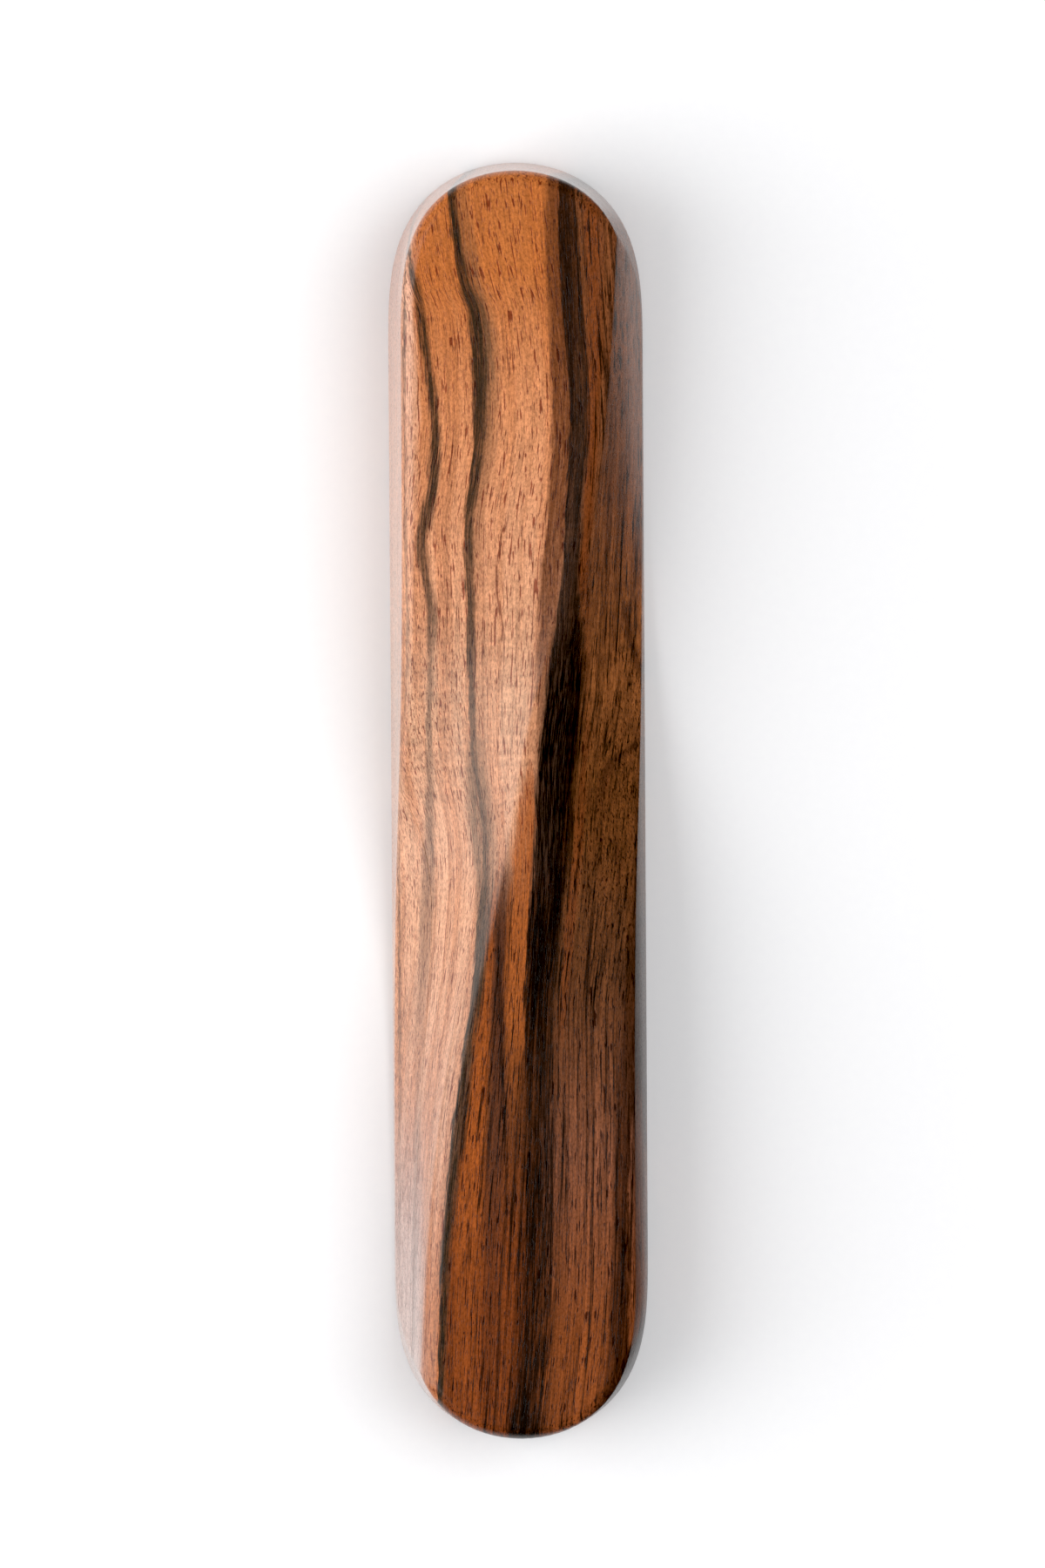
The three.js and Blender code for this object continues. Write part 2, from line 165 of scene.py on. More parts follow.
SIDE_STEPS = 190
END_STEPS = 60
SECTION_STEPS = 100
FINE_STEPS = 420  # a section is first looked at this finely, to see where it turns
TURN_WEIGHT = 20  # a turn of one radian counts as this many millimetres of length
HALVINGS = 36  # how often a ray is halved to find the surface on it


def reach(start, direction, distance_at):
    """Where rays from start cross a form's surface, all at once. Both arrays have the coordinate first."""
    inside = np.zeros(direction.shape[1:])
    outside = np.full(direction.shape[1:], float(LENGTH))
    for _ in range(HALVINGS):
        middle = (inside + outside) / 2
        within = distance_at(*(start + direction * middle)) < 0
        inside = np.where(within, middle, inside)
        outside = np.where(within, outside, middle)
    return start + direction * inside


def stations():
    """Places round the outline, as points on the spine and headings: up a side, round an end, and again."""
    spine, heading = [], []
    for sign, turn in ((1, 0), (-1, math.pi)):
        spine += [sign * SPINE_END * (2 * i / SIDE_STEPS - 1) for i in range(SIDE_STEPS)]
        heading += [turn] * SIDE_STEPS
        spine += [sign * SPINE_END] * END_STEPS
        heading += [turn + math.pi * i / END_STEPS for i in range(END_STEPS)]
    return np.array(spine), np.array(heading)


def surface_points(spine, heading, elevation):
    """The block's surface, seen from the spine at each station under each elevation."""
    spine, heading = np.broadcast_arrays(spine[:, None], heading[:, None])
    spine, heading = spine * np.ones_like(elevation), heading * np.ones_like(elevation)
    flat = np.cos(elevation)
    direction = np.stack([flat * np.cos(heading), flat * np.sin(heading), np.sin(elevation)])
    start = np.stack([np.zeros_like(spine), spine, np.full_like(spine, SPINE_HEIGHT)])
    return reach(start, direction, carved_form)


def block_mesh():
    """The whole carved block. Each section's points lie closer together where the section turns."""
    spine, heading = stations()
    even = np.linspace(-math.pi / 2, math.pi / 2, FINE_STEPS + 1)
    fine = surface_points(spine, heading, np.broadcast_to(even, (len(spine), len(even))))
    step = np.diff(fine, axis=2)
    length = np.linalg.norm(step, axis=0)
    cosine = (step[:, :, 1:] * step[:, :, :-1]).sum(0) / np.maximum(length[:, 1:] * length[:, :-1], 1e-12)
    turn = np.pad(np.arccos(np.clip(cosine, -1, 1)), ((0, 0), (1, 0)))
    measure = np.pad(np.cumsum(length + TURN_WEIGHT * turn, axis=1), ((0, 0), (1, 0)))
    shares = np.linspace(0, 1, SECTION_STEPS + 1)
    elevation = np.array([np.interp(shares * m[-1], m, even) for m in measure])
    points = surface_points(spine, heading, elevation)
    count, rows = len(spine), SECTION_STEPS + 1
    faces = [
        (i * rows + j, (i + 1) % count * rows + j, (i + 1) % count * rows + j + 1, i * rows + j + 1)
        for i in range(count)
        for j in range(SECTION_STEPS)
    ]
    return points.reshape(3, -1).T, faces


def outline(inset):
    """The plan outline at the foot, drawn in by an inset, as [x, y] points."""
    spine, heading = stations()
    start = np.stack([np.zeros_like(spine), spine])
    direction = np.stack([np.cos(heading), np.sin(heading)])
    return reach(start, direction, lambda x, y: plan_wall(x, y)[0] + inset).T


# ---- making and cutting meshes

SAME_PLACE = 2e-4  # points closer than this are one
BEVEL_ANGLE = math.radians(35)
SHADE_ANGLE = math.radians(32)


def added(name, data):
    """A new object in the scene."""
    made = bpy.data.objects.new(name, data)
    bpy.context.scene.collection.objects.link(made)
    return made


def weld(mesh):
    """Joins points at the same place, which removes faces without width, and turns faces outwards."""
    work = bmesh.new()
    work.from_mesh(mesh)
    bmesh.ops.remove_doubles(work, verts=work.verts, dist=SAME_PLACE * MM)
    bmesh.ops.recalc_face_normals(work, faces=work.faces)
    work.to_mesh(mesh)
    work.free()


def solid(name, points, faces):
    """A closed mesh object from points in millimetres."""
    mesh = bpy.data.meshes.new(name)
    mesh.from_pydata((np.asarray(points, float) * MM).tolist(), [], [list(f) for f in faces])
    weld(mesh)
    return added(name, mesh)


def settle(piece):
    """Applies a piece's modifiers."""
    bpy.context.view_layer.update()
    evaluated = piece.evaluated_get(bpy.context.evaluated_depsgraph_get())
    mesh = bpy.data.meshes.new_from_object(evaluated)
    piece.modifiers.clear()
    old, piece.data = piece.data, mesh
    mesh.name = piece.name
    bpy.data.meshes.remove(old)


def cut(piece, *tools, operation="DIFFERENCE"):
    """Cuts tools out of a piece one after another, and removes the tools."""
    for tool in tools:
        step = piece.modifiers.new("cut", "BOOLEAN")
        step.operation = operation
        step.solver = "MANIFOLD"
        step.object = tool
        settle(piece)
        bpy.data.objects.remove(tool)
    return piece


def soften(piece, width, segments=3):
    """Rounds a piece's sharp edges."""
    step = piece.modifiers.new("soften", "BEVEL")
    step.width = width * MM
    step.segments = segments
    step.limit_method = "ANGLE"
    step.angle_limit = BEVEL_ANGLE
    settle(piece)
    return piece


def smooth(piece):
    """Shades a piece smooth, up to its sharper edges."""
    piece.data.shade_smooth()
    piece.data.set_sharp_from_angle(angle=SHADE_ANGLE)


def loft(name, rings):
    """A closed solid through rings of [x, y, z] points, with a flat face at each end."""
    count = len(rings[0])
    faces = [range(count), range(len(rings) * count - count, len(rings) * count)]
    for r in range(len(rings) - 1):
        for i in range(count):
            j = (i + 1) % count
            faces.append((r * count + i, r * count + j, (r + 1) * count + j, (r + 1) * count + i))
    return solid(name, np.concatenate(rings), faces)


def at_height(plan, z):
    return np.column_stack([plan, np.full(len(plan), z)])


def prism(plan, bottom, top):
    """A cutting tool with straight walls."""
    return loft("tool", [at_height(plan, z) for z in (bottom, top)])


def circle(centre, radius, angles):
    """Points round a centre in plan, at angles in radians."""
    return centre + radius * np.column_stack([np.cos(angles), np.sin(angles)])


def bar_plan(half_width, near, far, near_radius, far_radius, inset, corner_steps, side_steps):
    """A bar's plan with its corners rounded, drawn in by an inset. Each corner has as many points."""
    ends = ((1, far, far_radius), (-1, far, far_radius), (-1, near, near_radius), (1, near, near_radius))
    corners = []
    for turn, (side, end, radius) in enumerate(ends):
        radius = max(radius, NO_RADIUS)
        inwards = math.copysign(radius, end - (near + far) / 2)
        centre = np.array([side * (half_width - radius), end - inwards])
        angles = np.radians(np.linspace(90 * turn, 90 * turn + 90, corner_steps + 1))
        corners.append(circle(centre, max(radius - inset, NO_RADIUS), angles))
    joined = []
    for i, corner in enumerate(corners):
        joined.append(corner)
        if i % 2 == 1:
            following = corners[(i + 1) % 4][0]
            share = np.linspace(0, 1, side_steps + 1)[1:-1, None]
            joined.append(corner[-1] + (following - corner[-1]) * share)
    return np.concatenate(joined)


def slot_plan(half_width, near, far, inset=0):
    """A bar with half-round ends, and enough points along it for a smooth cut."""
    radius = half_width - NO_RADIUS
    return bar_plan(half_width, near, far, radius, radius, inset, corner_steps=32, side_steps=40)


def turned(name, section, centre=(0, 0), steps=96):
    """A turned solid from a half section of (radius, height) points: a ring, unless it ends on the axis."""
    points, rings = [], []
    for radius, height in section:
        count = steps if radius > 0 else 1
        rings.append([len(points) + i for i in range(count)])
        for i in range(count):
            a = 2 * math.pi * i / steps
            points.append((centre[0] + radius * math.cos(a), centre[1] + radius * math.sin(a), height))
    pairs = list(zip(rings, rings[1:]))
    if section[0][0] > 0:
        pairs.append((rings[-1], rings[0]))
    faces = []
    for low, high in pairs:
        for i in range(steps):
            j = (i + 1) % steps
            ring = [low[i % len(low)], low[j % len(low)], high[j % len(high)], high[i % len(high)]]
            faces.append(list(dict.fromkeys(ring)))
    return solid(name, points, faces)


def move_points(piece, change):
    """Moves a mesh's points: change takes and returns arrays of x, y and z, in millimetres."""
    mesh = piece.data
    flat = np.empty(len(mesh.vertices) * 3)
    mesh.vertices.foreach_get("co", flat)
    x, y, z = change(*(flat.reshape(-1, 3) / MM).T)
    mesh.vertices.foreach_set("co", (np.column_stack([x, y, z]) * MM).ravel())
    mesh.update()


# ---- node graphs

NEAR_END = -LENGTH / 2
# A Mix node's sockets for two numbers, and for two colours.
MIX_NUMBERS = (2, 3)
MIX_COLOURS = (6, 7)


def tint(red, green, blue):
    """A colour given as display values from 0 to 255, as the linear colour that a shader takes."""
    shares = (v / 255 for v in (red, green, blue))
    return (*(v / 12.92 if v < 0.04045 else ((v + 0.055) / 1.055) ** 2.4 for v in shares), 1)


class Graph:
    """A material's node tree, with short ways to add to it. A value is a number, a colour or a socket."""

    def __init__(self, name):
        self.material = bpy.data.materials.new(name)
        self.material.use_nodes = True
        self.tree = self.material.node_tree
        self.shader = self.tree.nodes["Principled BSDF"]
        self.place = self.scaled(self.node("TexCoord").outputs["Object"], (1 / MM,) * 3)

    def feed(self, socket, value):
        if isinstance(value, bpy.types.NodeSocket):
            self.tree.links.new(value, socket)
        else:
            socket.default_value = value

    def node(self, kind, *values, **settings):
        """A node with its first sockets fed."""
        made = self.tree.nodes.new("ShaderNode" + kind)
        for name, value in settings.items():
            setattr(made, name, value)
        for socket, value in zip(made.inputs, values):
            self.feed(socket, value)
        return made

    def set(self, **values):
        """Sets the shader's sockets, with _ for a space in a socket's name."""
        for name, value in values.items():
            self.feed(self.shader.inputs[name.replace("_", " ")], value)

    def math(self, operation, *values, clamp=False):
        return self.node("Math", *values, operation=operation, use_clamp=clamp).outputs[0]

    def plus(self, a, b):
        return self.math("ADD", a, b)

    def minus(self, a, b):
        return self.math("SUBTRACT", a, b)

    def times(self, a, b):
        return self.math("MULTIPLY", a, b)

    def scaled(self, vector, factors):
        return self.node("VectorMath", vector, factors, operation="MULTIPLY").outputs[0]

    def split(self, vector):
        return self.node("SeparateXYZ", vector).outputs[:3]

    def joined(self, x, y, z):
        return self.node("CombineXYZ", x, y, z).outputs[0]

    def noise(self, vector, factors, detail=2, roughness=0.5, distortion=0):
        """Noise from 0 to 1. Factors are features per millimetre along each axis."""
        made = self.node("TexNoise", self.scaled(vector, factors))
        made.inputs["Scale"].default_value = 1
        made.inputs["Detail"].default_value = detail
        made.inputs["Roughness"].default_value = roughness
        made.inputs["Distortion"].default_value = distortion
        return made.outputs["Fac"]

    def sway(self, vector, factors, size, detail=2):
        """Noise centred on nought, of about this size either way."""
        return self.times(self.minus(self.noise(vector, factors, detail), 0.5), 4 * size)

    def ease(self, value, low, high, to_low=0, to_high=1):
        """A smooth step from to_low to to_high as value goes from low to high."""
        limits = (low, high, to_low, to_high)
        return self.node("MapRange", value, *limits, interpolation_type="SMOOTHSTEP").outputs[0]

    def share_along(self, y):
        """How far y lies along the case, from 0 to 1."""
        return self.math("DIVIDE", self.minus(y, NEAR_END), LENGTH)

    def curve(self, y, points, bottom=-30, top=30):
        """A smooth curve along the case through a few (y, result) points."""
        made = self.node("FloatCurve", 1, self.share_along(y))
        line = made.mapping.curves[0]
        placed = sorted(((v - NEAR_END) / LENGTH, (r - bottom) / (top - bottom)) for v, r in points)
        for knot, (along, up) in zip(line.points, (placed[0], placed[-1])):
            knot.location = along, up
        for along, up in placed[1:-1]:
            line.points.new(along, up)
        for knot in line.points:
            knot.handle_type = "AUTO_CLAMPED"
        made.mapping.update()
        return self.plus(self.times(made.outputs[0], top - bottom), bottom)

    def ramp(self, y, stops):
        """A colour that runs through (y, red, green, blue) stops along the case."""
        made = self.node("ValToRGB", self.share_along(y))
        line = made.color_ramp.elements
        for i, (at, *colour) in enumerate(stops):
            stop = line[i] if i < 2 else line.new(1)
            stop.position = (at - NEAR_END) / LENGTH
            stop.color = tint(*colour)
        return made.outputs["Color"]

    def mix(self, factor, a, b, blend="MIX"):
        made = self.node("Mix", factor, data_type="RGBA", blend_type=blend)
        for socket, colour in zip(MIX_COLOURS, (a, b)):
            self.feed(made.inputs[socket], colour)
        return made.outputs[2]

    def shade(self, colour, value):
        """A colour made lighter or darker by a value about 1."""
        made = self.node("VectorMath", colour, operation="SCALE")
        self.feed(made.inputs["Scale"], value)
        return made.outputs[0]

    def bump(self, height, depth):
        """Relief from a height of 0 to 1, this many millimetres deep."""
        made = self.node("Bump")
        made.inputs["Strength"].default_value = 1
        made.inputs["Distance"].default_value = depth * MM
        self.feed(made.inputs["Height"], height)
        return made.outputs[0]


# ---- the striped hardwood

# The grain lies in layers that run along the case and lean a little across it. A place among them is given
# by y and by its layer, which is its x at TOP_LAYER's height.
LAYER_LEAN = 0.15
TOP_LAYER = 24

# The pale wood along the case, as (y, red, green, blue): richer at the pivot's end, greyer at the other.
# Between about y = 20 and y = -60, where the left face twists towards the light, its paler, greyer tones
# are partly painted sheen.
PALE_WOOD_AND_PAINTED_SHEEN = (
    (-85, 172, 108, 70), (-57, 198, 147, 119), (-24, 214, 158, 124), (0, 208, 152, 118),
    (18, 200, 148, 114), (40, 212, 150, 112), (67, 208, 137, 92), (90, 186, 107, 52),
)
# The same for the wood beyond the dark band.
FAR_WOOD = (
    (-90, 128, 66, 28), (-60, 122, 73, 49), (-28, 94, 54, 26),
    (5, 106, 60, 24), (20, 132, 76, 34), (50, 122, 70, 37),
)
RIDGE_WOOD = tint(174, 92, 36)
STRIP_WOOD = tint(158, 80, 30)
LOWER_WOOD = tint(114, 54, 18)
THREAD_WOOD = tint(126, 68, 32)
BROWN_WOOD = tint(98, 52, 24)
# Painted shade: the dark brown along the right rim, which faces away from the light.
PAINTED_RIM_SHADE = tint(48, 22, 8)
# Painted highlight: a pinkish light tone for the rounded left rim near the pivot's end.
PAINTED_RIM_SHEEN = tint(216, 162, 132)
# Painted reflection: a pale pinkish grey for the steep lower left face, standing in for the light it
# mirrors.
PAINTED_REFLECTION_GREY = tint(186, 158, 148)
# Painted reflection: the pale tone that the walls facing the light are mixed towards.
PAINTED_WALL_REFLECTION = tint(222, 206, 194)
FIGURE_WOOD = tint(62, 32, 14)
PURPLE_WOOD = tint(84, 48, 32)
RUST_WOOD = tint(118, 58, 20)
OLIVE_WOOD = tint(44, 33, 20)
GREY_WOOD = tint(104, 78, 56)
BLACK_WOOD = tint(16, 10, 6)
VEIN_WOOD = tint(96, 34, 16)

# Streaks, as (y, layer, half width, strength) along each.
MAIN_STREAK = (
    (106, -10.6, 0.9, 0.9), (97, -9.8, 0.8, 1.0), (88, -8.2, 1.1, 0.95), (83, -6.6, 1.4, 0.95),
    (67, -5.9, 1.2, 0.95), (57, -6.7, 0.9, 0.95), (46, -8.0, 0.9, 0.9), (32, -7.7, 0.6, 0.85),
    (18, -7.9, 0.6, 0.75), (8, -7.6, 0.5, 0.6), (-9, -5.4, 0.5, 0.6), (-21, -6.0, 1.0, 0.8),
    (-32, -7.1, 0.9, 0.95), (-46, -9.4, 0.8, 1.0), (-59, -11.1, 0.8, 1.0), (-77, -12.7, 0.7, 1.0),
    (-97, -13.7, 0.6, 1.0), (-108, -14.4, 0.6, 1.0),
)
MAIN_STREAK_SHADOW = (
    (106, -9.6, 1.2, 0.3), (88, -6.8, 1.5, 0.6), (78, -4.9, 1.8, 0.75), (64, -4.7, 1.4, 0.5),
    (50, -6.6, 1.2, 0.4), (18, -7.4, 0.8, 0.3), (10, -7.4, 1.5, 0.7), (-3, -6.5, 2.3, 0.85),
    (-12, -5.8, 1.6, 0.85), (-26, -6.3, 1.1, 0.8), (-40, -7.9, 0.8, 0.3), (-60, -10.6, 0.8, 0.2),
)
EDGE_STREAK = (
    (95, -18.3, 0.4, 0.8), (85, -15.9, 0.7, 0.95), (77, -15.0, 0.8, 0.95), (63, -13.5, 0.9, 0.95),
    (54, -14.0, 0.9, 0.95), (49, -15.1, 1.0, 0.9), (44, -16.1, 0.8, 0.85), (32, -14.4, 0.8, 0.75),
    (20, -15.2, 0.5, 0.6), (0, -16.1, 0.9, 0.6), (-24, -17.8, 1.3, 0.45), (-50, -19.0, 0.9, 0.25),
    (-90, -19.6, 0.5, 0.3),
)
FOOT_STREAK = (
    (60, -18.8, 0.2, 0.6), (25, -18.9, 0.2, 0.4), (0, -22.1, 0.3, 0.2), (-20, -23.0, 0.3, 0.6),
    (-57, -23.6, 0.3, 0.3),
)
VEIN = (
    (49, -1.3, 0.1, 0.0), (46, -2.2, 0.2, 0.9), (39, -3.3, 0.2, 0.8), (27, -2.0, 0.15, 0.7),
    (20, -2.3, 0.1, 0.0),
)
BAND_EDGE = (
    (105, 7.6, 2.2, 0.9), (90, 7.7, 2.4, 0.95), (78, 8.0, 2.2, 0.95), (66, 8.1, 1.9, 0.95),
    (50, 7.2, 1.8, 0.95), (36, 5.8, 1.7, 0.9), (20, 4.7, 1.1, 0.7), (8, 3.9, 0.6, 0.3),
    (-8, 2.6, 0.4, 0.0),
)
BAND = (
    (106, 8.8, 1.4, 0.85), (93, 9.4, 1.8, 0.9), (81, 10.1, 1.9, 0.9), (66, 10.9, 1.6, 0.95),
    (50, 9.9, 1.4, 0.95), (34, 9.0, 1.9, 0.95), (20, 8.0, 2.7, 1.0), (4, 6.1, 2.9, 1.0),
    (-12, 5.2, 2.8, 1.0), (-24, 4.2, 2.6, 1.0), (-36, 3.2, 2.4, 0.9), (-50, 3.2, 1.9, 0.6),
    (-66, 3.0, 1.8, 0.5), (-88, 2.2, 1.8, 0.55), (-104, 0.6, 2.4, 0.9),
)
BAND_TRAIL = (
    (-20, 5.0, 1.0, 0.0), (-36, 4.2, 2.0, 0.6), (-66, 3.4, 3.2, 0.85), (-88, 2.6, 3.3, 0.9),
    (-108, 1.0, 3.3, 0.9),
)
RIDGE_STRIP = (
    (8, 2.5, 0.4, 0.0), (0, 1.6, 1.3, 0.8), (-12, 0.7, 1.7, 0.9), (-30, -0.4, 1.7, 0.8),
    (-42, -0.7, 1.3, 0.4), (-56, -0.9, 0.9, 0.0),
)
SECOND_STRIP = (
    (-16, -3.8, 0.4, 0.6), (-30, -5.1, 1.0, 0.9), (-44, -6.5, 1.4, 0.95), (-55, -7.3, 1.5, 1.0),
    (-66, -8.3, 2.1, 0.9), (-80, -9.0, 2.2, 0.5), (-108, -10.0, 2.2, 0.2),
)
BETWEEN_STRIPS = (
    (-8, -1.6, 0.5, 0.3), (-20, -2.8, 1.0, 0.8), (-36, -3.5, 0.9, 0.85), (-50, -3.3, 1.4, 0.85),
    (-64, -4.5, 1.4, 0.6), (-90, -5.0, 1.2, 0.2),
)
DARK_THREAD = (
    (-24, -3.2, 0.2, 0.4), (-50, -2.6, 0.3, 0.8), (-62, -2.4, 0.3, 0.8), (-85, -3.6, 0.2, 0.5),
    (-108, -4.2, 0.3, 0.5),
)
RUST_STRIP = (
    (104, 13.2, 1.4, 0.8), (81, 13.6, 1.2, 0.9), (66, 13.2, 0.9, 0.95), (54, 12.4, 0.8, 0.95),
    (40, 11.4, 0.6, 0.9), (26, 11.2, 0.4, 0.3), (0, 10.1, 0.5, 0.6), (-24, 8.3, 0.7, 0.7),
    (-40, 7.0, 0.6, 0.2),
)
# Painted shade along the rounded right rim, towards the end away from the pivot, where it faces away from
# the light.
RIGHT_RIM_SHADE = (
    (10, 21.5, 1.0, 0.2), (-24, 19.4, 1.5, 0.6), (-45, 17.9, 1.4, 0.8), (-57, 17.4, 1.3, 0.9),
    (-88, 16.7, 1.6, 1.0), (-98, 16.0, 1.8, 1.0), (-106, 12.4, 2.6, 1.0),
)
# A painted highlight along the rounded left rim near the pivot's end, where it turns towards the light.
LEFT_RIM_SHEEN = (
    (104, -15.5, 1.4, 0.3), (93, -18.8, 1.6, 0.8), (78, -18.0, 1.4, 0.8), (60, -17.8, 1.5, 0.5),
    (40, -18.0, 1.5, 0.0),
)
FIGURE = (
    (37, 15.2, 0.3, 0.0), (34, 16.3, 0.4, 0.5), (27.5, 17.0, 0.5, 0.8), (22, 18.6, 0.6, 0.6),
    (18, 20.0, 0.8, 0.0),
)
LOW_FIGURE = (
    (12, 19.6, 0.6, 0.0), (9.6, 17.8, 0.9, 0.6), (7.7, 15.2, 1.0, 0.75), (4, 13.6, 0.9, 0.6),
    (-3, 13.1, 0.8, 0.3), (-14, 12.6, 0.8, 0.0),
)

# Each streak's colour, how soft its two edges are, and how far fibres break it up. Later ones lie on top.
STREAKS = (
    # Painted highlight on the left rim, and painted shade on the right rim:
    (LEFT_RIM_SHEEN, PAINTED_RIM_SHEEN, (0.8, 0.5), 0.2),
    (RIGHT_RIM_SHADE, PAINTED_RIM_SHADE, (0.7, 0.2), 0.2),
    (FIGURE, FIGURE_WOOD, (0.8, 0.8), 0.3),
    (LOW_FIGURE, FIGURE_WOOD, (0.6, 0.9), 0.3),
    (BAND_EDGE, BROWN_WOOD, (0.3, 0.5), 0.3),
    (RIDGE_STRIP, RIDGE_WOOD, (0.5, 0.15), 0.2),
    (SECOND_STRIP, STRIP_WOOD, (0.3, 0.5), 0.3),
    (BETWEEN_STRIPS, PURPLE_WOOD, (0.5, 0.6), 0.4),
    (DARK_THREAD, BLACK_WOOD, (0.7, 0.7), 0.5),
    (RUST_STRIP, RUST_WOOD, (0.5, 0.5), 0.3),
    (BAND_TRAIL, BLACK_WOOD, (0.6, 0.7), 0.9),
    (BAND, BLACK_WOOD, (0.15, 0.3), 0.12),
    (MAIN_STREAK_SHADOW, GREY_WOOD, (0.4, 0.7), 0.6),
    (MAIN_STREAK, OLIVE_WOOD, (0.25, 0.8), 0.3),
    (EDGE_STREAK, OLIVE_WOOD, (0.5, 0.7), 0.5),
    (FOOT_STREAK, OLIVE_WOOD, (0.7, 0.7), 0.4),
    (VEIN, VEIN_WOOD, (0.6, 0.6), 0.2),
)


def column(points, i):
    """One of the numbers that go with each y."""
    return [(p[0], p[i]) for p in points]


def streak_mask(g, layer, y, points, softness, fibres, broken):
    """How strongly a streak shows: 1 on it, and falling to 0 past each edge."""
    half_width = g.curve(y, column(points, 2), bottom=0, top=4)
    strength = g.curve(y, column(points, 3), bottom=0, top=1)
    off = g.math("DIVIDE", g.minus(layer, g.curve(y, column(points, 1))), half_width)
    left = g.ease(off, -1 - softness[0], -1 + softness[0])
    right = g.ease(off, 1 + softness[1], 1 - softness[1])
    gaps = g.ease(fibres, 0.45, 0.65, 1, 1 - broken)
    return g.math("MULTIPLY", g.times(left, right), g.times(strength, gaps), clamp=True)


def straightened(g, layer, main_course, band_course):
    """The layer as the grain has it: it follows the main streak on one side, the dark band on the other."""
    bend = g.node("Mix", g.ease(layer, -10, 11), data_type="FLOAT")
    for socket, value in zip(MIX_NUMBERS, (g.plus(main_course, 8.5), g.minus(band_course, 6))):
        g.feed(bend.inputs[socket], value)
    return g.minus(layer, bend.outputs[0])


def fields(g, y, layer, bands, past_main, past_band):
    """The wood between the streaks, and how far a place lies in the darker of it, from 0 to 1."""
    # Painted sheen: the pale ramp is lighter and greyer where the left face twists towards the light.
    colour = g.mix(g.ease(bands, 0.4, 0.62, 0, 0.35), g.ramp(y, PALE_WOOD_AND_PAINTED_SHEEN), RIDGE_WOOD)
    # Painted reflection: the steep lower left face is greyed towards the pale light that it would mirror.
    steep_left_reflection = g.times(g.ease(layer, -15.5, -19), g.ease(y, -45, -80))
    colour = g.mix(steep_left_reflection, colour, PAINTED_REFLECTION_GREY)
    lower = g.times(past_main, g.ease(y, -4, -22))
    colour = g.mix(lower, colour, BROWN_WOOD)
    colour = g.mix(g.times(past_main, g.ease(y, -50, -80)), colour, LOWER_WOOD)
    return g.mix(past_band, colour, g.ramp(y, FAR_WOOD)), g.math("MAXIMUM", past_band, lower)


def with_lines(g, colour, lines, dark_field):
    """Fine lines along the grain, which show most in the darker wood."""
    depth = g.ease(dark_field, 0, 1, 0.1, 0.4)
    colour = g.shade(colour, g.plus(1, g.times(g.ease(lines, 0.3, 0.7, 1, -1), depth)))
    dark_lines = g.times(g.ease(lines, 0.56, 0.66), g.ease(dark_field, 0, 1, 0.12, 0.65))
    return g.mix(dark_lines, colour, BLACK_WOOD)


def with_threads(g, colour, threads, dark_field, y):
    """Dark and light threads in the darker wood, over its streaks as well."""
    dark_threads = g.times(g.ease(threads, 0.56, 0.64), g.ease(dark_field, 0, 1, 0.15, 0.9))
    colour = g.mix(dark_threads, colour, BLACK_WOOD)
    light = g.times(g.ease(dark_field, 0, 1), g.ease(y, 15, 50, 0.25, 0.4))
    return g.mix(g.times(g.ease(threads, 0.46, 0.38), light), colour, THREAD_WOOD)


def pore_grooves(g, grain):
    """Short grooves along the grain, in two sizes."""
    pores = g.ease(g.noise(grain, (4.4, 0.26, 4.4), detail=0), 0.66, 0.72)
    small_pores = g.ease(g.noise(grain, (7.5, 0.6, 7.5), detail=0), 0.68, 0.76)
    return g.math("MAXIMUM", pores, small_pores)


def with_mottle_and_painted_shimmer(g, colour, y, fibres, mottle):
    """Silky mottling, and near the middle a painted shimmer: lighter and darker bands across the grain that
    stand in for the figure's sheen.
    """
    colour = g.shade(colour, g.ease(fibres, 0.25, 0.75, 1.16, 0.82))
    colour = g.shade(colour, g.ease(mottle, 0.25, 0.75, 0.72, 1.28))
    # Painted shimmer: light and dark bands across the grain near the middle.
    shimmer_bands = g.noise(g.place, (0.12, 0.75, 0.12), detail=1)
    where = g.times(g.ease(y, -12, 8), g.ease(y, 52, 34))
    return g.shade(colour, g.plus(1, g.times(g.ease(shimmer_bands, 0.35, 0.65, -0.08, 0.08), where)))


def lit_walls(g, x, y):
    """The steep walls that face the light, and the one at the pivot's end."""
    steep = g.ease(g.split(g.node("NewGeometry").outputs["Normal"])[2], 0.3, 0.15)
    return g.times(steep, g.math("MAXIMUM", g.ease(x, -13, -17), g.ease(y, 97, 104)))


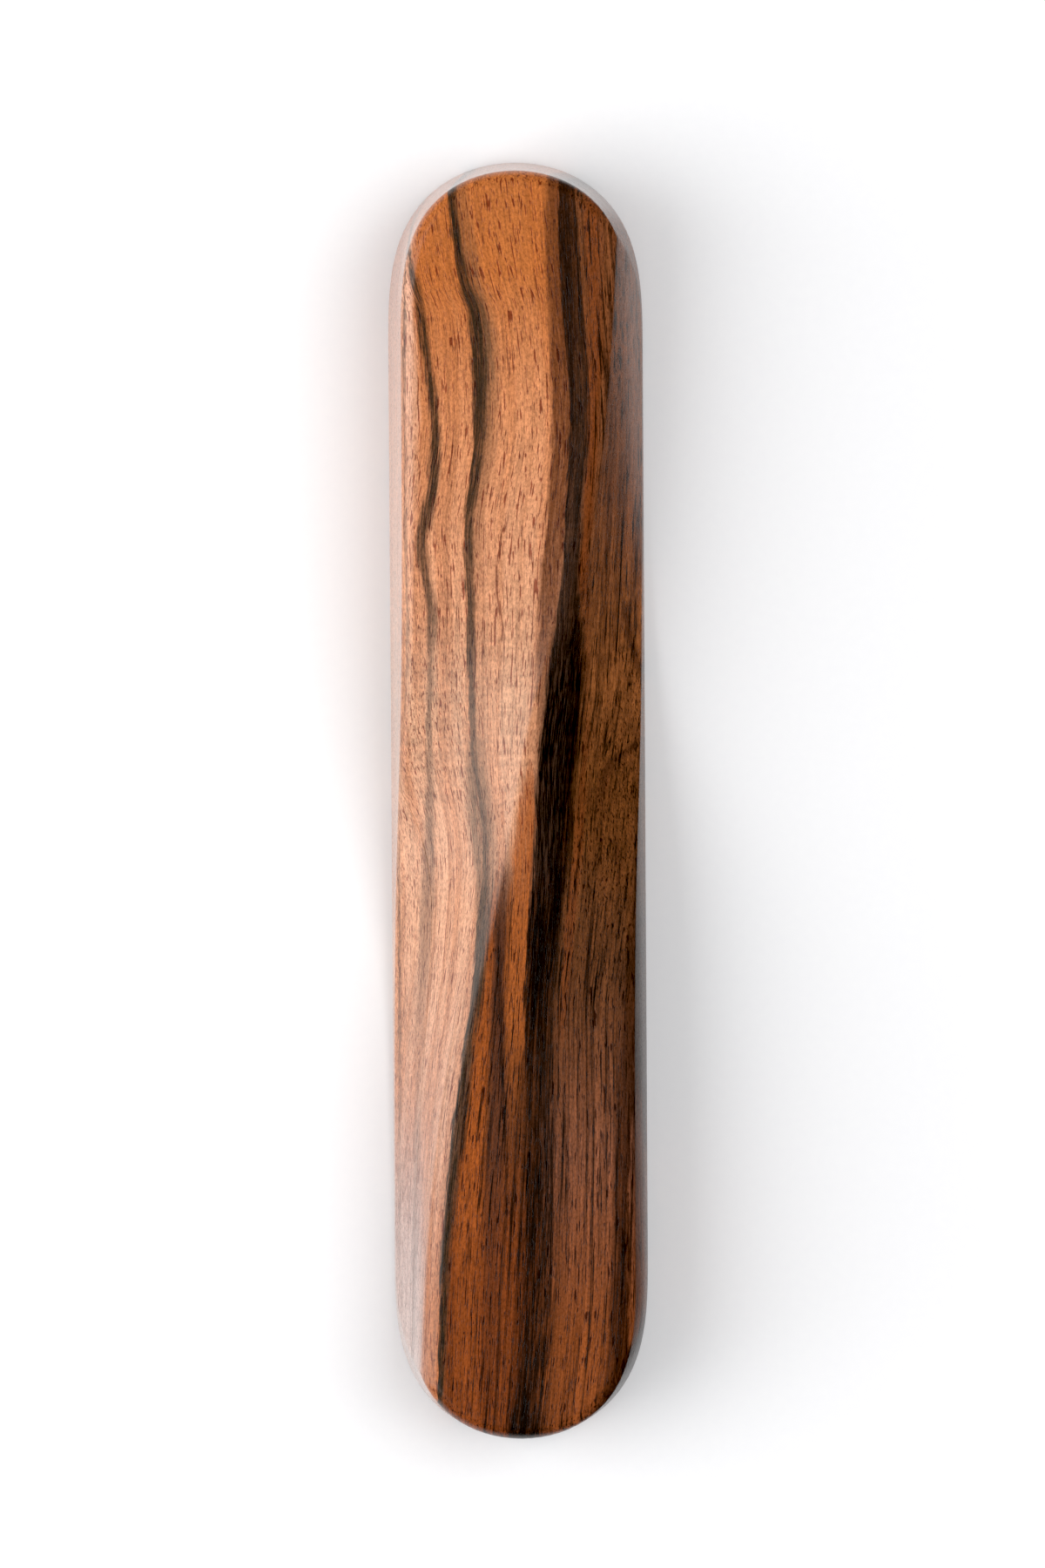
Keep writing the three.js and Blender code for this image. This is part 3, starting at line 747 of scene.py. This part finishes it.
def hardwood():
    g = Graph("striped_hardwood")
    x, y, z = g.split(g.place)
    layer = g.plus(x, g.times(g.minus(z, TOP_LAYER), LAYER_LEAN))
    main_course, band_course = (g.curve(y, column(streak, 1)) for streak in (MAIN_STREAK, BAND))
    grain = g.joined(straightened(g, layer, main_course, band_course), y, z)
    fibres = g.noise(grain, (4.5, 0.16, 1.5), detail=3, roughness=0.6)
    lines = g.noise(grain, (1.6, 0.012, 0.4), detail=4, roughness=0.62)
    threads = g.noise(grain, (2.6, 0.05, 0.7), detail=3, roughness=0.65)
    bands = g.noise(grain, (0.4, 0.004, 0.1), detail=2)
    mottle = g.noise(grain, (3.4, 1.5, 3.4), detail=3, roughness=0.65)
    ragged = g.plus(layer, g.sway(grain, (0.6, 0.07, 0.3), 0.25))
    ragged = g.plus(ragged, g.sway(grain, (3.2, 0.22, 1.2), 0.4, detail=3))

    past_main = g.ease(g.minus(ragged, main_course), -0.2, 1.4)
    past_band = g.ease(g.minus(ragged, band_course), -0.5, 2.0)
    colour, dark_field = fields(g, y, layer, bands, past_main, past_band)
    colour = with_lines(g, colour, lines, dark_field)
    for points, streak_colour, softness, broken in STREAKS:
        mask = streak_mask(g, ragged, y, points, softness, fibres, broken)
        colour = g.mix(mask, colour, streak_colour)
    colour = with_threads(g, colour, threads, dark_field, y)
    pores = pore_grooves(g, grain)
    pore_shade = g.mix(dark_field, tint(160, 116, 108), tint(104, 80, 72))
    colour = g.mix(g.times(pores, 0.9), colour, g.mix(1.0, colour, pore_shade, "MULTIPLY"))
    colour = with_mottle_and_painted_shimmer(g, colour, y, fibres, mottle)
    lit = lit_walls(g, x, y)
    g.set(
        # Painted reflection: the steep walls that face the light are lightened towards a pale grey.
        Base_Color=g.mix(g.times(lit, 0.2), colour, PAINTED_WALL_REFLECTION),
        Roughness=g.ease(mottle, 0.3, 0.7, 0.25, 0.34),
        Specular_IOR_Level=0.3,
        Normal=g.bump(g.minus(g.times(mottle, 0.35), pores), 0.02),
        Coat_Weight=g.ease(lit, 0, 1, 0.3, 1.0),
        Coat_Roughness=0.3,
        Coat_IOR=1.5,
        Coat_Normal=g.bump(mottle, 0.008),
    )
    return g.material


def ebony():
    g = Graph("ebony")
    grain = g.noise(g.place, (3, 3, 0.3), detail=4, roughness=0.6)
    colour = g.mix(g.ease(grain, 0.3, 0.75), tint(34, 27, 24), tint(74, 55, 42))
    g.set(
        Base_Color=colour,
        Roughness=g.ease(grain, 0.3, 0.7, 0.3, 0.5),
        Normal=g.bump(grain, 0.02),
        Coat_Weight=0.3,
        Coat_Roughness=0.2,
    )
    return g.material


def felt():
    g = Graph("felt")
    fibres = g.noise(g.place, (3.5, 3.5, 3.5), detail=6, roughness=0.75, distortion=1.5)
    clumps = g.noise(g.place, (0.5, 0.5, 0.5), detail=3)
    colour = g.mix(g.ease(fibres, 0.3, 0.7), tint(28, 52, 40), tint(62, 96, 76))
    colour = g.shade(colour, g.ease(clumps, 0.3, 0.7, 0.85, 1.12))
    g.set(
        Base_Color=colour,
        Roughness=0.95,
        Normal=g.bump(fibres, 0.25),
        Sheen_Weight=0.5,
        Sheen_Roughness=0.5,
        Sheen_Tint=tint(150, 185, 160),
    )
    return g.material


def cork():
    g = Graph("cork")
    cells = []
    for feature in ("F1", "DISTANCE_TO_EDGE"):
        cells.append(g.node("TexVoronoi", g.place, feature=feature))
        cells[-1].inputs["Scale"].default_value = 1.1
    granule, edge = g.split(cells[0].outputs["Color"])[0], cells[1].outputs["Distance"]
    colour = g.mix(granule, tint(150, 104, 62), tint(200, 156, 106))
    colour = g.mix(g.ease(edge, 0.06, 0.0, 0, 0.7), colour, tint(84, 50, 28))
    colour = g.shade(colour, g.ease(g.noise(g.place, (4, 4, 4), detail=3), 0.3, 0.7, 0.85, 1.12))
    g.set(Base_Color=colour, Roughness=0.85, Normal=g.bump(g.ease(edge, 0, 0.1), 0.12))
    return g.material


def metal(name, base, dull, roughness, centre=None):
    """A bright metal with fine tool marks: round a centre where it is turned, or else along the piece."""
    g = Graph(name)
    x, y, z = g.split(g.place)
    if centre is not None:
        out_x, out_y = g.minus(x, float(centre[0])), g.minus(y, float(centre[1]))
        radius = g.math("SQRT", g.plus(g.times(out_x, out_x), g.times(out_y, out_y)))
        marks = g.noise(g.joined(radius, z, 0.0), (14, 14, 1), detail=3)
    else:
        marks = g.noise(g.place, (14, 1, 14), detail=3)
    stain = g.noise(g.place, (0.5, 0.5, 0.5), detail=4)
    g.set(
        Base_Color=g.mix(g.ease(stain, 0.4, 0.7, 0, 0.6), base, dull),
        Metallic=1.0,
        Roughness=g.ease(marks, 0.3, 0.7, roughness * 0.75, roughness * 1.3),
        Normal=g.bump(marks, 0.006),
    )
    return g.material


def nylon():
    g = Graph("nylon")
    grain = g.noise(g.place, (2, 2, 2), detail=3)
    g.set(
        Base_Color=g.mix(grain, tint(226, 220, 204), tint(240, 236, 224)),
        Roughness=g.ease(grain, 0.3, 0.7, 0.4, 0.55),
        Normal=g.bump(grain, 0.01),
        Subsurface_Weight=0.1,
        Subsurface_Scale=1 * MM,
    )
    return g.material


# ---- the wooden body


def arc(centre, radius, start, end, steps=6):
    """Points of a circular arc in a half section, angles in degrees."""
    angles = [math.radians(start + (end - start) * i / steps) for i in range(steps + 1)]
    return [(centre[0] + radius * math.cos(a), centre[1] + radius * math.sin(a)) for a in angles]


PARTING = span("tray_body")[1][2]
LID_BOTTOM = span("lid_body")[0][2]
PIVOT = centre_of("pivot_screw")
ARRIS = 0.3  # the broken edge round the openings in the tray's top
BUSH_RADIUS = 4
SCREW_TUNNEL = 7  # the radius of the sole's hole for the screw's head

TROUGH = {"half_width": 7.5, "near": -102, "far": 82}
TROUGH_FLOOR = 3.4
TROUGH_CORNER = 1.6
LID_RECESS = {"half_width": 7.5, "near": -100, "far": 80}
SCOOP_RADIUS = 15
SCOOP_CENTRE = 22
SOLE_INSET = 4
COUNTERBORE = {"radius": 6.2, "ceiling": 6}
GROOVE = {"half_width": 1.6, "ceiling": 18.2}


def trough_tool():
    """The trough: a rounded corner round its floor, straight walls, and a broken edge at its mouth."""
    corner = arc((0, 0), TROUGH_CORNER, -90, 0, 8)
    profile = [(TROUGH_CORNER - dx, TROUGH_FLOOR + TROUGH_CORNER + dz) for dx, dz in corner]
    profile += [(0, PARTING - ARRIS), (-ARRIS, PARTING), (-ARRIS - BEYOND, PARTING + BEYOND)]
    return loft("tool", [at_height(slot_plan(**TROUGH, inset=inset), z) for inset, z in profile])


def scoop_tool():
    """Part of a sphere, with a broken edge where it comes out at the top."""
    low = math.degrees(math.asin((PARTING - ARRIS - SCOOP_CENTRE) / SCOOP_RADIUS))
    section = arc((0, SCOOP_CENTRE), SCOOP_RADIUS, -90, low, 40)
    section[0] = (0, section[0][1])
    mouth = math.sqrt(SCOOP_RADIUS**2 - (PARTING - SCOOP_CENTRE) ** 2)
    section += [(mouth + ARRIS, PARTING), (mouth + ARRIS + BEYOND, PARTING + BEYOND), (0, PARTING + BEYOND)]
    return turned("tool", section, steps=160)


def hole_tool(centre, radius, bottom, top, mouth=None):
    """A round hole from bottom to top, with a small countersink at its mouth, if that is one of the two."""
    sides = [(radius, bottom), (radius, top)]
    if mouth is not None:
        out = 1 if mouth == top else -1
        wide = radius + ARRIS / 2
        sink = [(radius, mouth - out * ARRIS / 2), (wide, mouth), (wide, mouth + out * BEYOND)]
        sides = [sides[0], *sink] if mouth == top else [*reversed(sink), sides[1]]
    return turned("tool", [(0, sides[0][1]), *sides, (0, sides[-1][1])], centre)


def magnet_tools(prefix, bottom, top, mouth):
    for side in ("left", "right"):
        node = f"{prefix}_magnet_{side}"
        yield hole_tool(centre_of(node), radius_of(node) + CLEARANCE, bottom, top, mouth)


def groove_tool():
    """The half-circle in the lid that the stop pin runs in."""
    orbit = centre_of("stop_pin")[0] - PIVOT[0]
    half = GROOVE["half_width"]
    sweep = np.radians(np.linspace(180, 360, 61))
    end_sweep = sweep[1:-1] - math.pi
    sides = circle((0, 0), orbit + half, sweep), circle((0, 0), orbit - half, sweep[::-1])
    ends = circle((orbit, 0), half, end_sweep), circle((-orbit, 0), half, end_sweep)
    plan = PIVOT + np.concatenate([sides[0], ends[0], sides[1], ends[1]])
    return prism(plan, LID_BOTTOM - BEYOND, GROOVE["ceiling"])


def layer_tool(bottom, top):
    corners = np.array([(-WIDTH, -LENGTH), (WIDTH, -LENGTH), (WIDTH, LENGTH), (-WIDTH, LENGTH)])
    return prism(corners, bottom, top)


def tray(points, faces):
    piece = solid("tray", points, faces)
    cut(piece, layer_tool(-BEYOND, PARTING), operation="INTERSECT")
    thrust_radius = radius_of("thrust_washer") + 2 * CLEARANCE
    pin_radius = radius_of("stop_pin") + CLEARANCE
    return cut(
        piece,
        trough_tool(),
        scoop_tool(),
        prism(outline(SOLE_INSET - CLEARANCE), -BEYOND, above("sole_pad")),
        hole_tool(PIVOT, COUNTERBORE["radius"], -BEYOND, COUNTERBORE["ceiling"]),
        hole_tool(PIVOT, BUSH_RADIUS + CLEARANCE, 0, PARTING + BEYOND),
        hole_tool(PIVOT, thrust_radius, under("thrust_washer"), PARTING, mouth=PARTING),
        hole_tool(centre_of("stop_pin"), pin_radius, under("stop_pin"), PARTING + BEYOND),
        *magnet_tools("tray", under("tray_magnet_left"), PARTING, PARTING),
    )


def lid(points, faces):
    piece = solid("lid", points, faces)
    cut(piece, layer_tool(LID_BOTTOM, 2 * TOP_HEIGHT), operation="INTERSECT")
    return cut(
        piece,
        prism(slot_plan(**LID_RECESS), LID_BOTTOM - BEYOND, above("lid_lining")),
        hole_tool(PIVOT, radius_of("lid_insert") + CLEARANCE, LID_BOTTOM - BEYOND, above("lid_insert")),
        groove_tool(),
        *magnet_tools("lid", LID_BOTTOM, above("lid_magnet_left"), LID_BOTTOM),
    )


# ---- the small pieces


def felt_pad(name, node, near_round, far_round, facing):
    """A felt lining. It faces up (1) or down (-1), with a soft edge and a slightly uneven face."""
    low, high = span(node)
    back, face = (low[2], high[2]) if facing > 0 else (high[2], low[2])
    half_width, near, far, thickness = radius_of(node), low[1], high[1], high[2] - low[2]
    corners = {True: half_width - NO_RADIUS, False: 0.4}
    near_radius, far_radius = corners[near_round], corners[far_round]
    soft, spacing, wave_depth = 0.25, 0.6, 0.03
    profile = [(0, 0), (0, thickness - soft), (0.3 * soft, thickness - 0.3 * soft), (soft, thickness)]
    profile += [(soft + d, thickness) for d in np.arange(spacing, half_width - soft - 0.3, spacing)]
    rings = []
    for inset, height in profile:
        radii = max(near_radius - inset, NO_RADIUS), max(far_radius - inset, NO_RADIUS)
        side_steps = max(int((far - near) / 0.8), 2)
        plan = bar_plan(half_width - inset, near + inset, far - inset, *radii, 0, 12, side_steps)
        rings.append(at_height(plan, back + facing * height))
    piece = loft(name, rings)

    def uneven(x, y, z):
        on_face = np.clip(1 - np.abs(z - face) / 0.3, 0, 1)
        wave = np.sin(x * 1.9 + 1.3 * np.sin(y * 0.7)) * np.sin(y * 1.3 + np.cos(x * 2.3))
        wave += np.sin(y * 3.1 + x * 2.7)
        return x, y, z + facing * wave_depth * on_face * (wave - 2)

    move_points(piece, uneven)
    return piece


def pen_rest(name, node):
    """A saddle with a round notch for the pen's barrel."""
    low, high = span(node)
    chamfer, notch_radius, notch_centre, softness = 1.5, 4.6, 10.2, 0.35
    lip = math.degrees(math.acos((high[2] - notch_centre) / notch_radius))
    notch = arc((0, notch_centre), notch_radius, 90 - lip, -270 + lip, 48)
    half = high[0]
    plan = [(-half + chamfer, low[2]), (half - chamfer, low[2]), (half, low[2] + chamfer), (half, high[2])]
    plan += [*notch, (-half, high[2]), (-half, low[2] + chamfer)]
    rings = [np.array([(x, y, z) for x, z in plan]) for y in (low[1], high[1])]
    return soften(loft(name, rings), softness)


def magnet(name, node):
    low, high = span(node)
    radius, edge = radius_of(node), 0.25
    section = [(0, low[2]), *arc((radius - edge, low[2] + edge), edge, -90, 0, 4)]
    section += [*arc((radius - edge, high[2] - edge), edge, 0, 90, 4), (0, high[2])]
    return turned(name, section, centre_of(node), steps=72)


def washer(name, node, inner, edge=0.1):
    """A flat ring with chamfered corners."""
    (_, _, bottom), (_, _, top) = span(node)
    outer = radius_of(node)
    section = [(inner, bottom + edge), (inner + edge, bottom)]
    section += [(outer - edge, bottom), (outer, bottom + edge), (outer, top - edge), (outer - edge, top)]
    section += [(inner + edge, top), (inner, top - edge)]
    return turned(name, section, centre_of(node))


def wave_spring():
    """A flat ring of spring strip, bent into three waves."""
    low, high = span("wave_spring")
    strip, waves, inner = 0.3, 3, 3.3
    swell = (high[2] - low[2] - strip) / 2
    centre, outer = centre_of("wave_spring"), radius_of("wave_spring")
    middle = low[2] + swell
    section = [(inner, middle), (outer, middle), (outer, middle + strip), (inner, middle + strip)]
    piece = turned("spring", section, centre, steps=180)

    def wavy(x, y, z):
        return x, y, z + swell * np.cos(waves * np.arctan2(y - centre[1], x - centre[0]))

    move_points(piece, wavy)
    return soften(piece, 0.06, 2)


def bush():
    low, high = span("pivot_bush")
    inner, outer, flange, shelf, edge = 3.08, BUSH_RADIUS, radius_of("pivot_bush"), low[2] + 1, 0.2
    section = [(inner, low[2] + edge), (inner + edge, low[2]), (flange - edge, low[2])]
    section += [(flange, low[2] + edge), (flange, shelf - edge), (flange - edge, shelf)]
    section += [(outer, shelf), (outer, high[2] - edge), (outer - edge, high[2])]
    section += [(inner + edge, high[2]), (inner, high[2] - edge)]
    return turned("bush", section, PIVOT)


def screw():
    """A shoulder screw with a slotted head and a cut thread."""
    low, high = span("pivot_screw")
    head, head_top, shoulder, edge = radius_of("pivot_screw"), 3.4, 3, 0.35
    shoulder_top = LID_BOTTOM - CLEARANCE
    thread, pitch, depth, tip_edge = 1.95, 0.7, 0.38, 0.4
    turns = np.arange(shoulder_top + 0.3, high[2] - tip_edge, 0.06)
    section = [(0, low[2]), *arc((head - edge, low[2] + edge), edge, -90, 0, 5)]
    section += [(head, head_top - 0.1), (head - 0.1, head_top), (shoulder, head_top)]
    section += [(shoulder, shoulder_top - 0.15), (shoulder - 0.15, shoulder_top), (thread, shoulder_top)]
    section += [(thread, z) for z in turns] + [(thread - tip_edge, high[2]), (0, high[2])]
    piece = turned("screw", section, PIVOT, steps=120)

    def threaded(x, y, z):
        out_x, out_y = x - PIVOT[0], y - PIVOT[1]
        phase = (z / pitch - np.arctan2(out_y, out_x) / (2 * math.pi)) % 1
        fade = np.clip((z - turns[0]) / pitch, 0, 1) * np.clip((turns[-1] + 0.1 - z) / 0.2, 0, 1)
        groove = depth * np.clip(1.25 - 2.5 * np.abs(phase - 0.5), 0, 1) * fade
        share = np.where((z > turns[0]) & (z < turns[-1] + 0.01), 1 - groove / thread, 1)
        return PIVOT[0] + out_x * share, PIVOT[1] + out_y * share, z

    move_points(piece, threaded)
    slot_half, slot_depth = 0.6, 0.9
    slot = slot_half * np.array([(-10, -1), (10, -1), (10, 1), (-10, 1)]) + PIVOT
    return cut(piece, prism(slot, low[2] - 1, low[2] + slot_depth))


def insert():
    """A barbed insert, knurled so that it doesn't turn in the wood."""
    low, high = span("lid_insert")
    outer, neck, inner, barbs, knurls, bite_depth = radius_of("lid_insert"), 3.6, 2.05, 3, 36, 0.08
    pitch = (high[2] - low[2]) / barbs
    section = [(inner + 0.25, low[2])]
    for i in range(barbs):
        base = low[2] + pitch * i
        section += [(outer - 0.15, base), (outer, base + 0.15)]
        section += [(outer, base + 0.35 * pitch), (neck, base + 0.98 * pitch)]
    section += [(inner + 0.2, high[2]), (inner, high[2] - 0.2), (inner, low[2] + 0.25)]
    piece = turned("insert", section, PIVOT, steps=216)

    def knurled(x, y, z):
        out_x, out_y = x - PIVOT[0], y - PIVOT[1]
        radius = np.hypot(out_x, out_y)
        bite = bite_depth * (1 - np.cos(knurls * np.arctan2(out_y, out_x)))
        share = 1 - bite * np.clip((radius - neck) / (outer - neck), 0, 1) / radius
        return PIVOT[0] + out_x * share, PIVOT[1] + out_y * share, z

    move_points(piece, knurled)
    return piece


def pin():
    low, high = span("stop_pin")
    radius, edge = radius_of("stop_pin"), 0.35
    section = [(0, low[2]), (radius - edge, low[2]), (radius, low[2] + edge)]
    section += [*arc((radius - edge, high[2] - edge), edge, 0, 90, 6), (0, high[2])]
    return turned("pin", section, centre_of("stop_pin"), steps=72)


def sole():
    low, high = span("sole_pad")
    soft = 0.2
    profile = [(soft, low[2]), (soft * 0.3, low[2] + soft * 0.3), (0, low[2] + soft), (0, high[2])]
    piece = loft("sole", [at_height(outline(SOLE_INSET + inset), z) for inset, z in profile])
    return cut(piece, hole_tool(PIVOT, SCREW_TUNNEL, -BEYOND, BEYOND))


# ---- assembly


def place(piece, body, node, slot, material):
    """Finishes a piece: its shading and material, the body it rides on, and the CAD node it stands for."""
    weld(piece.data)
    smooth(piece)
    piece.data.materials.clear()
    piece.data.materials.append(material)
    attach(piece, body)
    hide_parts(node)
    return piece


block = block_mesh()
wood, felted = hardwood(), felt()
place(tray(*block), "tray", "tray_body", "striped_hardwood", wood)
place(lid(*block), "lid", "lid_body", "striped_hardwood", wood)

# Each lining is glued to the wooden piece that has its body's name.
for name, node, body, near_round, far_round, facing in (
    ("felt_nib_end", "nib_end_lining", "tray", True, False, 1),
    ("felt_middle", "middle_lining", "tray", False, False, 1),
    ("felt_tail_end", "tail_end_lining", "tray", False, True, 1),
    ("felt_lid", "lid_lining", "lid", True, True, -1),
):
    pad = place(felt_pad(name, node, near_round, far_round, facing), body, node, "felt", felted)
    low, high = (np.array(corner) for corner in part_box(node))
    flat = (high - low)[:2]
    tuple(flat)

dark_wood = ebony()
for end in ("nib", "tail"):
    place(pen_rest(f"rest_{end}", f"{end}_rest"), "tray", f"{end}_rest", "ebony", dark_wood)
place(sole(), "tray", "sole_pad", "cork", cork())

nickel = metal("nickel", tint(214, 210, 202), tint(176, 172, 166), 0.22)
metal_pieces = bpy.data.collections.new("metal_pieces")
for body in ("tray", "lid"):
    for side in ("left", "right"):
        node = f"{body}_magnet_{side}"
        piece = magnet(f"magnet_{body}_{side}", node)
        metal_pieces.objects.link(place(piece, body, node, "nickel", nickel))

brass = metal("brass", tint(214, 176, 98), tint(168, 124, 62), 0.26, PIVOT)
steel = metal("spring_steel", tint(186, 186, 188), tint(140, 140, 146), 0.3, PIVOT)
for piece, body, node, slot, material in (
    (screw(), "lid", "pivot_screw", "brass", brass),
    (washer("washer", "screw_washer", 3.15), "lid", "screw_washer", "brass", brass),
    (insert(), "lid", "lid_insert", "brass", brass),
    (bush(), "tray", "pivot_bush", "brass", brass),
    (wave_spring(), "tray", "wave_spring", "spring_steel", steel),
    (pin(), "tray", "stop_pin", "spring_steel", steel),
):
    metal_pieces.objects.link(place(piece, body, node, slot, material))
place(washer("thrust", "thrust_washer", 3.2, 0.12), "tray", "thrust_washer", "nylon", nylon())

# ---- floor, light and camera

HAZE = 0.005  # what is taken off the darkest tones
FILL, BACKDROP = 0.42, 0.9
FLOOR_REACH = 3.0
# Polished wood doesn't mirror the paper right of a line, which leans a little off the case's length.
SPLIT_MIDDLE, SPLIT_LEAN = 0.0255, 0.025
FLOOR_SPLIT = [SPLIT_MIDDLE + SPLIT_LEAN * y for y in (-FLOOR_REACH, FLOOR_REACH)]


def floor(name, left, right, mirrored):
    """A sheet of white paper. Its edges are given as x at the near and the far end."""
    mesh = bpy.data.meshes.new(name)
    near, far = -FLOOR_REACH, FLOOR_REACH
    corners = [(left[0], near, 0), (right[0], near, 0), (right[1], far, 0), (left[1], far, 0)]
    mesh.from_pydata(corners, [], [(0, 1, 2, 3)])
    made = added(name, mesh)
    g = Graph(name)
    fibre = g.noise(g.place, (0.6, 0.6, 0.6), detail=3)
    g.set(
        Base_Color=g.mix(fibre, tint(241, 241, 243), tint(244, 244, 245)),
        Roughness=0.7,
        Specular_IOR_Level=0.0,
    )
    mesh.materials.append(g.material)
    made.visible_glossy = mirrored


def area_light(name, position, target, size, radiance, mirrored=True, only=None):
    """A soft light. Polished surfaces may or may not mirror it, and it may light only one collection."""
    data = bpy.data.lights.new(name, "AREA")
    data.shape = "RECTANGLE"
    data.size, data.size_y = size
    data.energy = radiance * math.pi * size[0] * size[1]
    made = added(name, data)
    made.location = position
    made.rotation_euler = (Vector(target) - Vector(position)).to_track_quat("-Z", "Y").to_euler()
    made.visible_camera = False
    made.visible_glossy = mirrored
    made.light_linking.receiver_collection = only


def world():
    """An even fill, which polished surfaces don't mirror, and the backdrop that the camera sees."""
    made = bpy.data.worlds.new("studio")
    bpy.context.scene.world = made
    made.use_nodes = True
    made.cycles_visibility.glossy = False
    nodes, links = made.node_tree.nodes, made.node_tree.links
    ray = nodes.new("ShaderNodeLightPath")
    seen = nodes.new("ShaderNodeMix")
    links.new(ray.outputs["Is Camera Ray"], seen.inputs["Factor"])
    for socket, strength in zip(MIX_NUMBERS, (FILL, BACKDROP)):
        seen.inputs[socket].default_value = strength
    links.new(seen.outputs[0], nodes["Background"].inputs["Strength"])
    nodes["Background"].inputs["Color"].default_value = (1, 1, 1, 1)


def grade():
    """A plain view, with the little haze in the blacks taken out."""
    view = bpy.context.scene.view_settings
    view.view_transform = "Standard"
    view.use_curve_mapping = True
    view.curve_mapping.black_level = (HAZE,) * 3
    view.curve_mapping.update()


def camera():
    """Looks down along the case, from a little towards the pivot's end."""
    distance, view_height = 1.2, 0.270677
    tilt, turn = math.radians(2.07), math.radians(-0.36)
    target = np.array([0.0010, 0.0030, 0])
    data = bpy.data.cameras.new("camera")
    data.sensor_width = 36
    data.lens = data.sensor_width * distance / view_height
    made = added("camera", data)
    made.location = target + distance * np.array([0, math.sin(tilt), math.cos(tilt)])
    made.rotation_mode = "XYZ"
    made.rotation_euler = (-tilt, 0, turn)
    bpy.context.scene.camera = made


floor("floor", (-FLOOR_REACH, -FLOOR_REACH), FLOOR_SPLIT, mirrored=True)
floor("dark_side_floor", FLOOR_SPLIT, (FLOOR_REACH, FLOOR_REACH), mirrored=False)
world()
area_light("key", (-1.1, -0.1, 0.75), (0, 0, 0.01), (1.1, 1.8), 2.8)
area_light("overhead", (0.9, 0.15, 1.7), (0, 0, 0), (1.2, 1.2), 4.0, mirrored=False)
area_light("ceiling", (0, 0, 1.2), (0, 0, 0), (5, 5), 0.8, only=metal_pieces)
camera()
grade()
